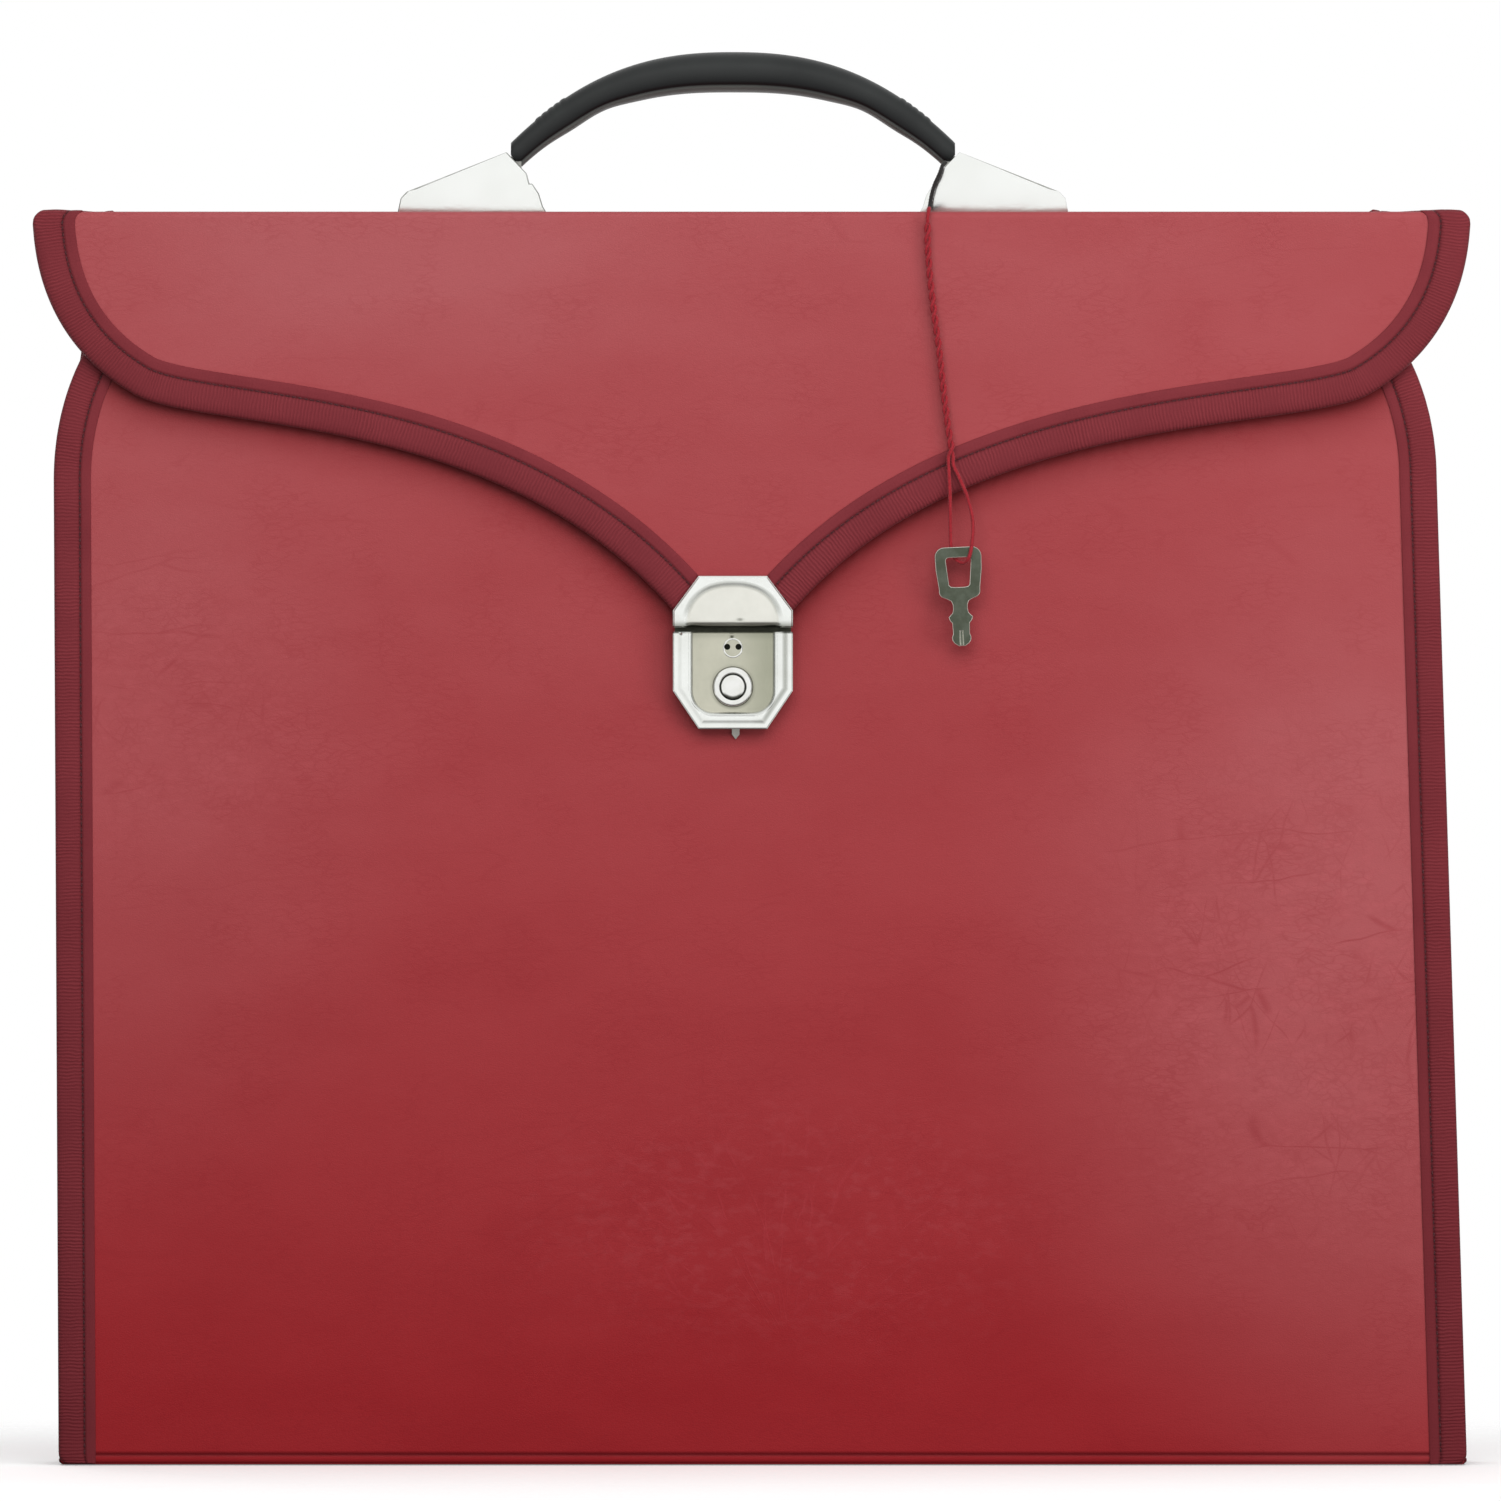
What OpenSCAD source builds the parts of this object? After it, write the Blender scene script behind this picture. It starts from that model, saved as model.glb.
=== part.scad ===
// Flat hard case for carrying an apron: leathercloth over board, with bound edges,
// a curved front flap, a push-button lock, a carrying handle and a key on a thread.
// X runs to the right seen from the front, the front faces -Y, and Z is up.
// The case stands on its base at Z = 0.

/* [Case] */
// Width of the case at its base, over the bound edges
case_w = 400.4; // [340:0.1:440]
// How much narrower each side edge is at the front panel's corners than at the base
side_taper = 3.6; // [0:0.1:8]
// How far the base sits to the right of the flap's middle
base_shift = 3.2; // [0:0.1:6]
// How far the sides lean to the left between the base and the corners
side_lean = 5; // [0:0.1:8]
// Depth of the case over the front and back covers
case_d = 40; // [34:0.5:60]
// Height of the case without its handle
case_h = 356; // [320:1:400]
// How far the front panel's top edge lies below the top of the case
front_drop = 18; // [14:0.5:26]
// Width of the front panel's rounded corners
corner_w = 40; // [30:1:60]
// Height of the front panel's rounded corners
corner_h = 58; // [45:1:70]
// How much each side of the back draws in behind the front panel's corners
back_draw = 7; // [5:0.1:7.5]

/* [Layers] */
// Thickness of the leathercloth
cover_t = 0.8; // [0.6:0.1:1.2]
// Thickness of the millboard in the body and the top
board_t = 2; // [1.5:0.1:3]
// Thickness of the millboard in the flap
flap_board_t = 1.5; // [1:0.1:2]
// Thickness of the lining paper in the body
lining_t = 0.5; // [0.3:0.1:0.8]
// Thickness of the lining in the top and the flap
top_lining_t = 0.4; // [0.3:0.1:0.8]
// Thickness of the binding tape
tape_t = 0.8; // [0.5:0.1:1]
// Width of the tape seen on the body
tape_w = 10.6; // [9:0.1:13]
// Width of the tape's hidden inner leg on the body
tape_inner_w = 9; // [7:0.1:9.4]
// Width of the tape on the flap and the top
flap_tape_w = 12; // [9:0.1:15]
// Distance of the gusset walls from the case's side edges
gusset_inset = 9.8; // [9.7:0.1:11]
// Gap between the boards and the gusset walls
board_gap = 0.4; // [0.2:0.1:2]

/* [Flap] */
// Width of the flap at the top of the case
flap_w = 408.4; // [400.4:0.1:416.4]
// How far the flap's tip hangs below the top of the case
flap_drop = 117; // [105:0.5:130]
// Gap between the front panel's tape and the flap
flap_gap = 0.4; // [0.3:0.1:1]
// Length of bare leathercloth down the flap at a fold
fold_down = 3.5; // [3:0.1:6]
// Length of bare leathercloth across the top at a fold
fold_in = 4.3; // [4:0.1:6]
// How far the boards stop short of a fold, beyond the cloth
fold_board_gap = 2.5; // [2:0.1:5]

/* [Fittings] */
// How far the lock and the handle sit to the right of the flap's middle
fittings_x = -5.3; // [-10:0.1:10]
// Width of the lock
lock_w = 34; // [30:0.1:40]
// Height of the lower plate
lock_h = 27.5; // [27:0.1:34]
// Height of the upper plate
hasp_h = 14.6; // [14:0.1:18]
// Gap between the lock's two plates
lock_gap = 1.3; // [0.8:0.1:2]
// How far the lock's rim stands out from the front cover
lock_rise = 7; // [6.8:0.1:8]
// Wall of the lock's pressed metal
lock_wall = 1; // [0.8:0.1:1.2]
// Depth of the recess in the lock's face
field_depth = 0.8; // [0.4:0.1:1]
// Thickness of the lock's base plate and back plate
plate_t = 0.8; // [0.6:0.1:1]
// Radius of the push button
button_r = 3.5; // [3:0.1:4]
// How far the button stands out of the lock's rim
button_rise = 1.2; // [0.8:0.1:2]
// Travel of the button
button_travel = 2.2; // [1.5:0.1:2.3]
// Travel of the catch
catch_travel = 2; // [1:0.1:2]
// Radius of the key plug
plug_r = 2.9; // [2.5:0.1:3.2]

/* [Handle] */
// Distance from the handle's middle to the end of the grip
grip_reach = 62.2; // [55:0.1:62.4]
// Rise of the grip's middle line above its ends
grip_rise = 24.4; // [18:0.1:35]
// Height of the grip's ends above the top of the case
grip_end_z = 15.9; // [15.5:0.1:16.5]
// Thickness of the grip at its ends
grip_end_t = 7; // [6:0.1:7.4]
// Thickness of the grip in the middle
grip_mid_t = 11.4; // [9:0.1:13]
// Depth of the grip at its ends
grip_end_w = 7; // [6.5:0.1:7.2]
// Depth of the grip in the middle
grip_mid_w = 14.6; // [10:0.1:15]
// Width of the steel strip in the grip
core_w = 5; // [4:0.1:5.5]
// Thickness of the steel strip in the grip
core_t = 1.6; // [1:0.1:2]
// Height of the handle's pivots above the top of the case
pivot_z = 12.8; // [12.5:0.1:13]
// Radius of the eyes at the ends of the handle's strip
eye_r = 3.5; // [3:0.1:3.8]
// Radius of the handle's pivot pins
pin_r = 1.3; // [1:0.1:1.5]
// Distance from the handle's middle to the inner foot of a bracket
bracket_in = 53; // [50:0.1:56]
// Distance from the handle's middle to the outer end of a bracket
bracket_out = 95.5; // [92:0.1:100]
// Half depth of a bracket at its foot
bracket_half_d = 8; // [7.9:0.1:9]
// Half depth of a bracket's ridge
ridge_half_d = 7.1; // [6.9:0.1:7.5]
// Sheet thickness of the brackets
sheet_t = 1; // [0.8:0.1:1.2]

/* [Key] */
// Thickness of the key
key_t = 1.2; // [1:0.1:1.6]
// Width of the key's bow
bow_w = 13.3; // [11:0.1:16]
// Height of the key's bow
bow_h = 14.8; // [13:0.1:18]
// Length of the key's shank below the bow
shank_l = 13.6; // [12:0.1:20]
// Diameter of the doubled thread
pair_d = 2.2; // [1.6:0.1:2.6]
// Diameter of one strand of the thread
strand_d = 1.2; // [0.8:0.1:1.4]

/* [Hidden] */

cloth = "firebrick";
tape_c = "darkred";
card = "tan";
paper = "black";
nickel = "silver";
steel = "slategray";
plastic = "dimgray";
thread_c = "crimson";

// Places along Y. The box of the whole part is centred on Y = 0.
front_y = (lock_rise + button_rise - case_d - tape_t) / 2;
back_y = front_y + case_d;
panel_t = cover_t + board_t + lining_t;
flap_inner_out = tape_t + flap_gap;
flap_lining_out = flap_inner_out + tape_t;
flap_board_out = flap_lining_out + top_lining_t;
flap_cover_out = flap_board_out + flap_board_t;
flap_out = flap_cover_out + cover_t;
flap_y = front_y - flap_out;
handle_y = (flap_y + back_y) / 2;

// Places along Z
front_top = case_h - front_drop;
corner_z = front_top - corner_h;
gusset_front_z = corner_z + 36;
gusset_back_z = front_top + 2;
back_top = case_h - fold_down;
tip_z = case_h - flap_drop;
lock_line = tip_z - 1.8;
hasp_z = lock_line + lock_gap / 2;
lock_top = lock_line - lock_gap / 2;
top_stack = cover_t + board_t + top_lining_t;
board_inset = gusset_inset + cover_t + board_gap;
flange_t = 2 * cover_t;

// Edge of the body on one side, side -1 or 1, at height z
function edge_x(side, z) = base_shift - side_lean * z / corner_z
    + side * (case_w / 2 - side_taper * z / corner_z);

// Points of one rounded front corner, going up to the top edge
corner_steps = 14;
function corner(side, inset) = [
    for (i = [0 : corner_steps]) let (a = 90 * i / corner_steps) [
        edge_x(side, corner_z) - side * (corner_w - (corner_w - inset) * cos(a)),
        corner_z + (corner_h - inset) * sin(a)
    ]
];
function reversed(list) = [for (i = [len(list) - 1 : -1 : 0]) list[i]];
function front_path(inset, low = 0) = concat(
    [[edge_x(-1, low) + inset, low]], corner(-1, inset),
    reversed(corner(1, inset)), [[edge_x(1, low) - inset, low]]
);

// Edge of the back and the gussets on one side, which draws in behind the front's corners
draw_steps = 8;
draw_low = corner_z + 8;
draw_h = 32;
function drawn(t) = back_draw * t * t * (3 - 2 * t);
function back_x(side, z) = edge_x(side, z) - side * drawn(max(0, min(1, (z - draw_low) / draw_h)));
function back_levels(low, high) = concat(
    [low], [for (i = [0 : draw_steps]) let (z = draw_low + draw_h * i / draw_steps)
        if (z > low && z < high) z], [high]
);
function back_side(side, inset, low, high) = [
    for (z = back_levels(low, high)) [back_x(side, z) - side * inset, z]
];
function back_outline(inset, low, high) =
    concat(back_side(-1, inset, low, high), reversed(back_side(1, inset, low, high)));
function side_strip(side, from, to, low, high) =
    concat(back_side(side, from, low, high), reversed(back_side(side, to, low, high)));

// Outline of the flap's lower edge on one side, from the top corner to the tip
curve_steps = 16;
half_flap = flap_w / 2;
tip_half = lock_w / 2 + 0.3;
function bezier(a, b, c, d, t) =
    a * pow(1 - t, 3) + b * 3 * t * pow(1 - t, 2) + c * 3 * t * t * (1 - t) + d * pow(t, 3);
function from_top(side, x, drop) = [side * (half_flap - x), case_h - drop];
function flap_edge(side) =
    let (
        shoulder = from_top(side, 28, 51.5),
        tip = [fittings_x + side * tip_half, tip_z + 4]
    ) concat(
        [for (i = [0 : curve_steps]) bezier(from_top(side, 0, fold_down), from_top(side, 0.8, 20),
            from_top(side, 7, 39), shoulder, i / curve_steps)],
        [for (i = [1 : curve_steps]) bezier(shoulder, from_top(side, 46, 63),
            [fittings_x + side * 68, tip_z + 62], tip, i / curve_steps)],
        [[fittings_x + side * (tip_half - 4.3), tip_z]]
    );
flap_path = concat(flap_edge(-1), reversed(flap_edge(1)));

// Moves each point of an open path to its left by a distance
function unit(v) = v / norm(v);
function left_of(v) = [-v[1], v[0]];
function shifted(path, distance) = [
    for (i = [0 : len(path) - 1])
        let (
            before = unit(i > 0 ? path[i] - path[i - 1] : path[1] - path[0]),
            after = unit(i < len(path) - 1 ? path[i + 1] - path[i] : path[i] - path[i - 1]),
            normal = unit(left_of(before) + left_of(after))
        )
        path[i] + normal * distance / max(0.5, normal * left_of(before))
];
function level_ends(path, z) = [
    for (i = [0 : len(path) - 1])
        (i == 0 || i == len(path) - 1) ? [path[i][0], z] : path[i]
];
function flap_inset(distance) = level_ends(shifted(flap_path, distance), case_h - fold_down);
half_count = len(flap_path) / 2;
function left_half(path) = [for (i = [0 : half_count - 1]) path[i]];
function right_half(path) = [for (i = [half_count : 2 * half_count - 1]) path[i]];

// Outline of the top panel, which narrows from the flap to the back panel
function top_edge_x(side, y) = side * half_flap
    + (back_x(side, back_top) - side * half_flap) * (y - flap_y) / (back_y - flap_y);
function top_outline(inset, y0, y1) = [
    [top_edge_x(-1, y0) + inset, y0], [top_edge_x(1, y0) - inset, y0],
    [top_edge_x(1, y1) - inset, y1], [top_edge_x(-1, y1) + inset, y1]
];
function top_strip(side, from, to, y0, y1) = [
    [top_edge_x(side, y0) - side * from, y0], [top_edge_x(side, y1) - side * from, y1],
    [top_edge_x(side, y1) - side * to, y1], [top_edge_x(side, y0) - side * to, y0]
];

// A sheet cut to an outline in X and Z, from y to y + t
module upright(outline, y, t) {
    translate([0, y + t, 0]) rotate([90, 0, 0]) linear_extrude(t) polygon(outline);
}
// A sheet cut to an outline in X and Y, from z to z + t
module level(outline, z, t) {
    translate([0, 0, z]) linear_extrude(t) polygon(outline);
}
// A bar with an outline in Y and Z, from x to x + l
module along_x(outline, x, l) {
    translate([x, 0, 0]) rotate([90, 0, 90]) linear_extrude(l) polygon(outline);
}
// A rod along Y whose ends lie at two distances out from the front cover
module rod_out(x, z, r, from, to) {
    translate([x, front_y - from, z]) rotate([90, 0, 0]) cylinder(r = r, h = to - from, $fn = 48);
}
// A block between two corners given as x, distance out from the front cover, and z
module block_out(low, high) {
    size = high - low;
    translate([low[0], front_y - high[1], low[2]]) cube(size);
}

// Lock sizes
lock_low = lock_top - lock_h;
cut_half_w = 10;
cut_low = lock_low + 2.6;
cut_high = lock_line + 9.5;
button_z = lock_line - 16.2;
plug_z = lock_line - 5.2;
field_out = lock_rise - field_depth;
back_plate_out = -panel_t;
bezel_r = button_r + 2.3;
button_clearance = 0.08;
stem_r = 1.6;
stem_end = -0.8;
staple_z = lock_line + 5.6;
staple_t = 1.2;
staple_half = 4;
hasp_rivet_z = lock_line + 11.6;
lock_rivet_x = 13;
lock_rivet_low = lock_low + 9.2;
lock_rivet_high = lock_line - 3.5;
rivet_r = 1.2;
rivet_head_r = 2;

module lock_cut() {
    block_out([fittings_x - cut_half_w, -panel_t - 1, cut_low], [fittings_x + cut_half_w, 1, cut_high]);
}
module lock_rivet_holes() {
    for (side = [-1, 1], z = [lock_rivet_low, lock_rivet_high])
        rod_out(fittings_x + side * lock_rivet_x, z, rivet_r, -panel_t - 2, lock_rise);
}

// Front panel
module front_board() {
    color(card) difference() {
        union() {
            upright(front_path(board_inset, cover_t), front_y + cover_t, board_t);
            upright(concat(corner(-1, tape_t), reversed(corner(1, tape_t))), front_y + cover_t, cover_t);
        }
        lock_cut();
        lock_rivet_holes();
    }
}
module front_cover() {
    color(cloth) difference() {
        upright(front_path(tape_t), front_y, cover_t);
        lock_cut();
        lock_rivet_holes();
    }
}
module front_lining() {
    color(paper) difference() {
        upright(front_path(board_inset, panel_t), front_y + panel_t - lining_t, lining_t);
        lock_cut();
        lock_rivet_holes();
    }
}
module front_binding() {
    outer = front_path(0);
    color(tape_c) {
        upright(concat(outer, reversed(front_path(tape_w))), front_y - tape_t, tape_t);
        upright(concat(outer, reversed(front_path(tape_t))), front_y, flange_t);
        upright(concat(outer, reversed(front_path(tape_inner_w))), front_y + flange_t, tape_t);
    }
}

// Back panel
module back_board() {
    color(card) upright(back_outline(board_inset, cover_t, back_top - fold_board_gap),
        back_y - cover_t - board_t, board_t);
}
module back_cover() {
    color(cloth) upright(back_outline(tape_t, 0, back_top), back_y - cover_t, cover_t);
}
module back_lining() {
    color(paper) upright(back_outline(board_inset, panel_t, back_top - fold_board_gap),
        back_y - panel_t, lining_t);
}
module back_binding(side) {
    color(tape_c) {
        upright(side_strip(side, 0, tape_w, 0, back_top), back_y, tape_t);
        upright(side_strip(side, 0, tape_t, 0, back_top), back_y - flange_t, flange_t);
        upright(side_strip(side, 0, tape_inner_w, 0, back_top - 1), back_y - flange_t - tape_t, tape_t);
    }
}

// Base
base_front = front_y + panel_t;
base_back = back_y - panel_t;
function base_outline(inset, y0, y1) = [
    [edge_x(-1, 0) + inset, y0], [edge_x(1, 0) - inset, y0],
    [edge_x(1, 0) - inset, y1], [edge_x(-1, 0) + inset, y1]
];
module bottom_board() {
    color(card) level(base_outline(board_inset, base_front, base_back), cover_t, board_t);
}
module bottom_cover() {
    color(cloth) level(base_outline(tape_w, front_y + cover_t, back_y - cover_t), 0, cover_t);
}
module bottom_lining() {
    color(paper) level(base_outline(board_inset, base_front, base_back), cover_t + board_t, lining_t);
}
tape_front = front_y + flange_t + tape_t;
tape_back = back_y - flange_t - tape_t;
module bottom_strip(side, from, to, z, t) {
    x0 = edge_x(side, 0) - side * from;
    x1 = edge_x(side, 0) - side * to;
    translate([min(x0, x1), tape_front, z]) cube([abs(x1 - x0), tape_back - tape_front, t]);
}
module bottom_binding(side) {
    color(tape_c) {
        bottom_strip(side, 0, tape_w, 0, cover_t);
        bottom_strip(side, 0, tape_t, cover_t, cover_t);
        bottom_strip(side, 0, tape_inner_w, flange_t, tape_t);
    }
}

// Side gussets, with flanges that the bindings hold
module gusset(side) {
    wall_in = gusset_inset + cover_t;
    back_low = back_y - flange_t;
    color(cloth) {
        upright(side_strip(side, gusset_inset, wall_in, cover_t, corner_z),
            front_y + cover_t, case_d - flange_t);
        intersection() {
            upright(side_strip(side, gusset_inset, wall_in, corner_z, gusset_back_z),
                front_y, back_y - cover_t - front_y);
            along_x([
                [tape_front + 0.3, corner_z], [tape_front + 0.3, gusset_front_z],
                [back_low, gusset_back_z], [back_y, gusset_back_z], [back_y, corner_z]
            ], -case_w, 2 * case_w);
        }
        upright(side_strip(side, tape_t, wall_in, cover_t, corner_z), front_y + cover_t, cover_t);
        upright(side_strip(side, tape_t, wall_in, cover_t, gusset_back_z), back_low, cover_t);
        bottom_strip(side, tape_t, wall_in, cover_t, cover_t);
    }
}

// Slots in the top for the brackets' prongs, with a clearance all round
prong_x = 72;
prong_w = 8;
prong_gap = 0.2;
module prong_slots() {
    for (side = [-1, 1], face = [-1, 1])
        translate([
            fittings_x + side * (prong_x + prong_w / 2) - prong_w / 2 - prong_gap,
            handle_y + face * (bracket_half_d - sheet_t / 2) - sheet_t / 2 - prong_gap,
            case_h - top_stack - 5
        ]) cube([prong_w + 2 * prong_gap, sheet_t + 2 * prong_gap, top_stack + 10]);
}

// Top panel
top_front = flap_y + fold_in;
top_back = back_y - fold_in;
board_front = flap_y + fold_board_gap + cover_t;
board_back = back_y - fold_board_gap - cover_t;
module top_board() {
    color(card) difference() {
        level(top_outline(tape_t, board_front, board_back), case_h - cover_t - board_t, board_t);
        prong_slots();
    }
}
module top_cover() {
    color(cloth) difference() {
        level(top_outline(tape_t, top_front, top_back), case_h - cover_t, cover_t);
        prong_slots();
    }
}
module top_lining() {
    color(paper) difference() {
        level(top_outline(tape_t, board_front, board_back), case_h - top_stack, top_lining_t);
        prong_slots();
    }
}
module top_binding(side) {
    color(tape_c) {
        level(top_strip(side, 0, flap_tape_w, top_front, top_back), case_h, tape_t);
        level(top_strip(side, 0, tape_t, top_front, top_back), case_h - top_stack, top_stack);
        level(top_strip(side, 0, flap_tape_w, top_front, top_back), case_h - top_stack - tape_t, tape_t);
    }
}

// Folds of leathercloth and tape at the top's two long edges
// front is -1 for the flap's fold and 1 for the back's, out is how far the outside stands proud
function fold_outline(y, front, out) = [
    [y + front * out, case_h + out], [y + front * out, case_h - fold_down],
    [y - front * cover_t, case_h - fold_down], [y - front * cover_t, case_h - cover_t],
    [y - front * fold_in, case_h - cover_t], [y - front * fold_in, case_h + out]
];
module fold_cloth(y, front, left, right) {
    color(cloth) along_x(fold_outline(y, front, 0), left, right - left);
}
module fold_tape(y, front, left, right, width) {
    color(tape_c) {
        along_x(fold_outline(y, front, tape_t), left, width);
        along_x(fold_outline(y, front, tape_t), right - width, width);
    }
}
module back_fold_cloth() {
    fold_cloth(back_y, 1, back_x(-1, back_top) + tape_w, back_x(1, back_top) - tape_w);
}
module back_fold_tape() {
    fold_tape(back_y, 1, back_x(-1, back_top), back_x(1, back_top), tape_w);
}
module flap_fold_cloth() {
    fold_cloth(flap_y, -1, -half_flap + flap_tape_w, half_flap - flap_tape_w);
}
module flap_fold_tape() {
    fold_tape(flap_y, -1, -half_flap, half_flap, flap_tape_w);
}

// Flap
module hasp_rivet_holes() {
    for (side = [-1, 1])
        rod_out(fittings_x + side * 8, hasp_rivet_z, rivet_r, 0, lock_rise);
}
module flap_sheet(out, t, top) {
    difference() {
        upright(flap_inset(tape_t), front_y - out - t, t);
        hasp_rivet_holes();
        block_out([-flap_w, 0, top], [flap_w, lock_rise + 5, case_h + 1]);
    }
}
module flap_board() {
    color(card) flap_sheet(flap_board_out, flap_board_t, back_top - fold_board_gap);
}
module flap_cover() {
    color(cloth) flap_sheet(flap_cover_out, cover_t, back_top);
}
module flap_lining() {
    color(paper) flap_sheet(flap_lining_out, top_lining_t, back_top - fold_board_gap);
}
function hasp_outline(grow) = [
    [fittings_x - lock_w / 2 - grow, hasp_z - grow],
    [fittings_x + lock_w / 2 + grow, hasp_z - grow],
    [fittings_x + lock_w / 2 + grow, hasp_z + 4.8],
    [fittings_x + lock_w / 2 - 7.3 + grow, hasp_z + hasp_h + grow],
    [fittings_x - lock_w / 2 + 7.3 - grow, hasp_z + hasp_h + grow],
    [fittings_x - lock_w / 2 - grow, hasp_z + 4.8]
];
module flap_tape(outer, edge, inner) {
    color(tape_c) difference() {
        union() {
            upright(concat(outer, reversed(inner)), flap_y - tape_t, tape_t);
            upright(concat(outer, reversed(edge)), flap_y, flap_out - flap_lining_out);
            upright(concat(outer, reversed(inner)), front_y - flap_lining_out, tape_t);
        }
        upright(hasp_outline(0.3), front_y - 20, 20);
    }
}
flap_outer = level_ends(flap_path, case_h - fold_down);
module flap_binding_left() {
    flap_tape(left_half(flap_outer), left_half(flap_inset(tape_t)), left_half(flap_inset(flap_tape_w)));
}
module flap_binding_right() {
    flap_tape(right_half(flap_outer), right_half(flap_inset(tape_t)), right_half(flap_inset(flap_tape_w)));
}

// Upper half of the lock, on the flap's tip
module hasp_plate() {
    arch_r = lock_w / 2 - 3.6;
    color(nickel) difference() {
        upright(hasp_outline(0), front_y - lock_rise, lock_rise - flap_out);
        intersection() {
            rod_out(fittings_x, hasp_z - 0.6, arch_r, field_out, lock_rise + 1);
            block_out([fittings_x - arch_r, field_out, hasp_z + 1.2],
                [fittings_x + arch_r, lock_rise + 1, lock_line + 30]);
        }
    }
}
module hasp_clip() {
    low = flap_inner_out;
    plate_half = 11.5;
    staple_end = back_plate_out + 0.3;
    color(nickel) difference() {
        union() {
            block_out([fittings_x - plate_half, low, lock_line + 2],
                [fittings_x + plate_half, flap_lining_out, lock_line + 13]);
            block_out([fittings_x - staple_half, staple_end, staple_z],
                [fittings_x + staple_half, flap_lining_out, staple_z + staple_t]);
        }
        block_out([fittings_x - 2.1, staple_end + 0.3, staple_z - 1],
            [fittings_x + 2.1, -0.7, staple_z + staple_t + 1]);
        hasp_rivet_holes();
    }
}
module hasp_rivets() {
    color(nickel) for (side = [-1, 1]) {
        rod_out(fittings_x + side * 8, hasp_rivet_z, rivet_r, flap_inner_out, flap_out);
        rod_out(fittings_x + side * 8, hasp_rivet_z, rivet_head_r, flap_inner_out - 0.3, flap_inner_out);
    }
}

// Lower half of the lock, on the front panel
function lock_outline(inset) = [
    [fittings_x - lock_w / 2 + inset, lock_top - inset],
    [fittings_x - lock_w / 2 + inset, lock_low + 10.8],
    [fittings_x - lock_w / 2 + 7.3 + inset / 2, lock_low + inset],
    [fittings_x + lock_w / 2 - 7.3 - inset / 2, lock_low + inset],
    [fittings_x + lock_w / 2 - inset, lock_low + 10.8],
    [fittings_x + lock_w / 2 - inset, lock_top - inset]
];
// The recess with its two rounded lower corners
module field(grow, low, high) {
    half = lock_w / 2 - 5.1 + grow;
    corner_r = 7 + grow;
    bottom = lock_low + 4 - grow;
    for (side = [-1, 1])
        rod_out(fittings_x + side * (half - corner_r), bottom + corner_r, corner_r, low, high);
    block_out([fittings_x - half, low, bottom + corner_r], [fittings_x + half, high, lock_top + 1]);
    block_out([fittings_x - half + corner_r, low, bottom], [fittings_x + half - corner_r, high, lock_top]);
}
module lock_case() {
    color(nickel) difference() {
        upright(lock_outline(0), front_y - lock_rise, lock_rise - plate_t);
        upright(lock_outline(lock_wall), front_y - field_out + lock_wall, field_out - lock_wall + 1);
        field(0, field_out, lock_rise + 1);
        field(1.2, lock_rise - field_depth / 2, lock_rise + 1);
        rod_out(fittings_x, button_z, button_r + button_clearance, 0, lock_rise + 1);
        rod_out(fittings_x, plug_z, plug_r + button_clearance, 0, lock_rise + 1);
    }
}
module lock_base() {
    color(steel) difference() {
        union() {
            upright(lock_outline(0), front_y - plate_t, plate_t);
            block_out([fittings_x - 8, 0, lock_top - 1], [fittings_x + 8, plate_t, lock_line + 9.4]);
            block_out([fittings_x - lock_w / 2 + 0.5, 0, lock_top - 1],
                [fittings_x + lock_w / 2 - 0.5, plate_t, hasp_z + 2]);
            upright([
                [fittings_x - 0.3, lock_low + 1], [fittings_x - 0.3, lock_low - 1.6],
                [fittings_x + 0.8, lock_low - 3], [fittings_x + 1.9, lock_low - 1.6],
                [fittings_x + 1.9, lock_low + 1]
            ], front_y - plate_t, plate_t);
        }
        block_out([fittings_x - 5, -1, lock_line + 4], [fittings_x + 5, 2, lock_line + 8.5]);
        rod_out(fittings_x, button_z, stem_r + 0.2, -1, 2);
        rod_out(fittings_x, plug_z, 1.6, -1, 2);
        lock_rivet_holes();
    }
}
module lock_rivets() {
    color(steel) for (side = [-1, 1], z = [lock_rivet_low, lock_rivet_high]) {
        rod_out(fittings_x + side * lock_rivet_x, z, rivet_r, back_plate_out - plate_t, plate_t);
        rod_out(fittings_x + side * lock_rivet_x, z, rivet_head_r,
            back_plate_out - plate_t - 0.6, back_plate_out - plate_t);
    }
}
catch_out = back_plate_out + 0.1;
catch_t = 1.2;
catch_half = 4.8;
catch_low = lock_low + 8.6;
rail_gap = 0.15;
spring_low = lock_low + 4.1;
module lock_back_plate() {
    plate_half = lock_w / 2 - 1.5;
    color(steel) difference() {
        union() {
            block_out([fittings_x - plate_half, back_plate_out - plate_t, lock_low + 1.2],
                [fittings_x + plate_half, back_plate_out, lock_line + 12]);
            for (side = [-1, 1])
                translate([side * (catch_half + rail_gap + 0.6), 0, 0])
                    block_out([fittings_x - 0.6, back_plate_out, catch_low + 0.5],
                        [fittings_x + 0.6, back_plate_out + 2.4, lock_line + 1]);
            block_out([fittings_x - 3, back_plate_out, spring_low - 1],
                [fittings_x + 3, back_plate_out + 2.6, spring_low]);
        }
        lock_rivet_holes();
    }
}
module button_bezel() {
    inner = button_r + button_clearance;
    round_r = 0.6;
    color(nickel) translate([fittings_x, front_y - field_out, button_z]) rotate([90, 0, 0])
        rotate_extrude($fn = 64) difference() {
            translate([inner, 0]) square([bezel_r - inner, 1.4]);
            translate([bezel_r - round_r, 1.4 - round_r]) difference() {
                square(round_r + 1);
                circle(r = round_r, $fn = 24);
            }
        }
}
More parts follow.
